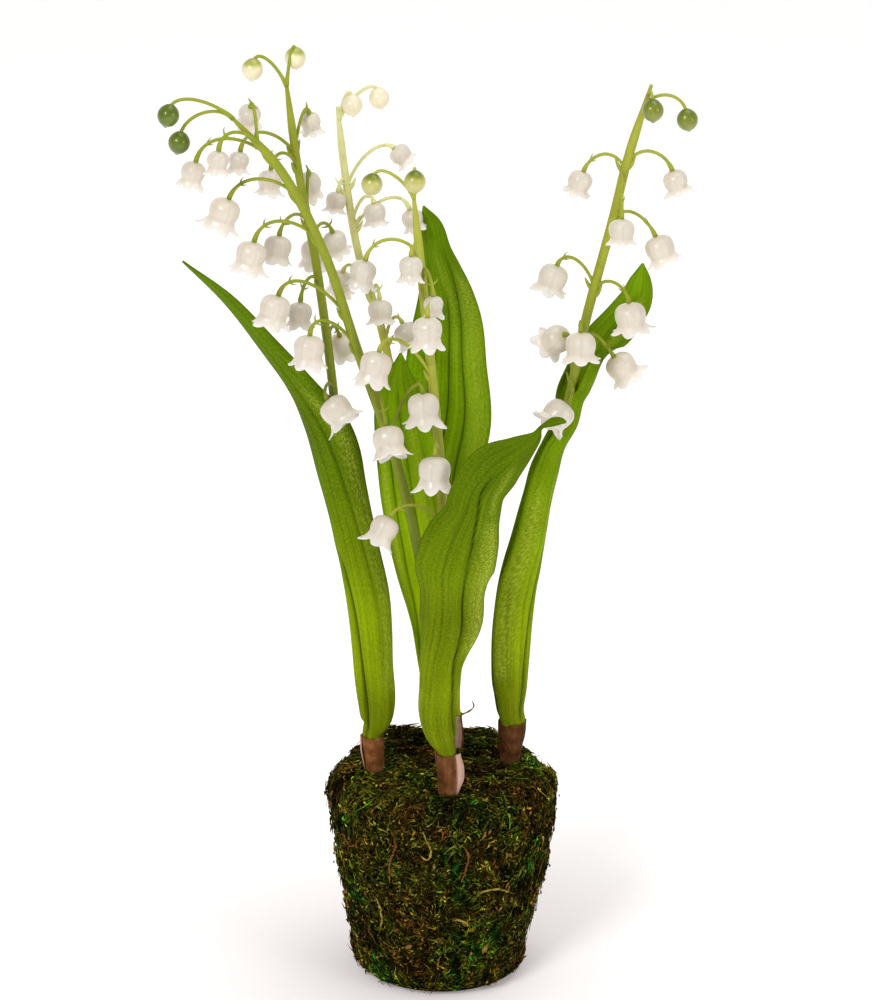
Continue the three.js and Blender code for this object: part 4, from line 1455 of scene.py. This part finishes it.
def stage():
    """A wide pale floor that curves up far behind, so that no horizon shows there; it glows evenly, dimmer
    round the plant's foot as a painted shadow.
    """
    bm = bmesh.new()
    bmesh.ops.create_grid(bm, x_segments=2, y_segments=120, size=FLOOR_REACH)
    for vert in bm.verts:
        bend = max(vert.co.y - FLOOR_FLAT, 0)
        angle = min(bend / FLOOR_BEND, math.pi / 2)
        rest = max(bend - FLOOR_BEND * math.pi / 2, 0)
        vert.co.z = FLOOR_BEND * (1 - math.cos(angle)) + rest
        vert.co.y = min(vert.co.y, FLOOR_FLAT) + FLOOR_BEND * math.sin(angle)
    mesh = as_mesh("floor", bm)
    mesh.polygons.foreach_set("use_smooth", [True] * len(mesh.polygons))
    finish = Finish("pale_floor", Roughness=0.9, Specular_IOR_Level=0.1, Emission_Strength=0.42)
    haze = finish.clouds(finish.place(), 3, 2)
    paper = finish.mix(haze, (0.86, 0.83, 0.825), (0.88, 0.85, 0.845))
    away = finish.node("ShaderNodeVectorMath", {"operation": "LENGTH"}, {0: finish.place()}, "Value")
    # Painted shadow: the floor glows less from about 16 cm in towards the plant's foot.
    glow_and_painted_shadow = finish.mix(finish.between(0.03, 0.16, away), (0.5, 0.46, 0.45), (1.0, 1.0, 1.0))
    mesh.materials.append(finish.done(Base_Color=paper, Emission_Color=glow_and_painted_shadow))
    floor = bpy.data.objects.new("floor", mesh)
    bpy.context.scene.collection.objects.link(floor)


def area_light(name, place, target, size, power):
    data = bpy.data.lights.new(name, "AREA")
    data.shape = "SQUARE"
    data.size = size
    data.energy = power
    lamp = bpy.data.objects.new(name, data)
    lamp.location = place
    lamp.rotation_euler = (Vector(target) - Vector(place)).to_track_quat("-Z", "Y").to_euler()
    bpy.context.scene.collection.objects.link(lamp)


def lights():
    world = bpy.data.worlds.new("studio")
    world.use_nodes = True
    world.node_tree.nodes["Background"].inputs["Color"].default_value = (1.0, 0.99, 0.97, 1)
    world.node_tree.nodes["Background"].inputs["Strength"].default_value = 0.36
    bpy.context.scene.world = world
    middle = (0, 0, 0.15)
    area_light("key_softbox", (-0.55, -0.95, 0.95), middle, 0.42, 9)
    area_light("top_softbox", (0.25, 0.1, 1.3), middle, 0.8, 5)
    area_light("fill_softbox", (0.9, -0.7, 0.5), middle, 0.5, 3)
    bpy.context.scene.view_settings.view_transform = "Standard"


def camera():
    """A long lens looking down on the plant by 20 degrees."""
    elevation = math.radians(20)
    distance = 1.25
    target = Vector((-0.0015, 0, 0.1523))
    data = bpy.data.cameras.new("camera")
    data.lens = 150
    data.sensor_width = 36
    view = bpy.data.objects.new("camera", data)
    view.location = target + Vector((0, -math.cos(elevation), math.sin(elevation))) * distance
    view.rotation_euler = (math.pi / 2 - elevation, 0, 0)
    bpy.context.scene.collection.objects.link(view)
    bpy.context.scene.camera = view


# ---- Assembly --------------------------------------------------------------------------------


def plant():
    leaf_cloth = leaf_finish()
    stalk_plastic = stalk_finish()
    bell_plastic = bell_finish()
    tape_paper = tape_finish()
    spins = seeded_random(7)
    draw = np.random.default_rng(11)
    for name, pip in PIPS.items():
        path = stem_path(pip)
        places = [bell_place(path, row) for row in pip["bells"]]
        tape(name, pip, tape_paper)
        leaf(name, pip, leaf_cloth)
        stalk(name, pip, path, places, stalk_plastic)
        bells(name, places, spins, pip["skirt"], draw, bell_plastic)


def block():
    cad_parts["foam_core"].data.materials.clear()
    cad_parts["foam_core"].data.materials.append(foam_finish())
    moss_bed(moss_bed_shade_finish())
    strands = moss_strand_finish()
    strand = strand_shape()
    sprig = sprig_shape()
    rim = along_at(BLOCK_HEIGHT - 1)
    fine = (0.9, 3.1, 0.15, 0.38, 0)
    feathered = (1.8, 4, 0.2, 0.36, 0.16)
    for i, side in enumerate(("front", "right", "back", "left")):
        headings = (i * 90 - 45, i * 90 + 45)
        moss_strands(f"moss_{side}", strand, 31 + i, 6400, headings, (0.055, rim), fine, strands)
        moss_strands(f"moss_sprigs_{side}", sprig, 51 + i, 330, headings, (0.055, rim), feathered, strands)
    moss_strands("moss_top", strand, 41, 6400, (0, 360), (rim, 1.0), fine, strands)
    moss_strands("moss_sprigs_top", sprig, 61, 330, (0, 360), (rim, 1.0), feathered, strands)
    moss_scraps(bark_finish())


camera()
stage()
lights()
plant()
block()
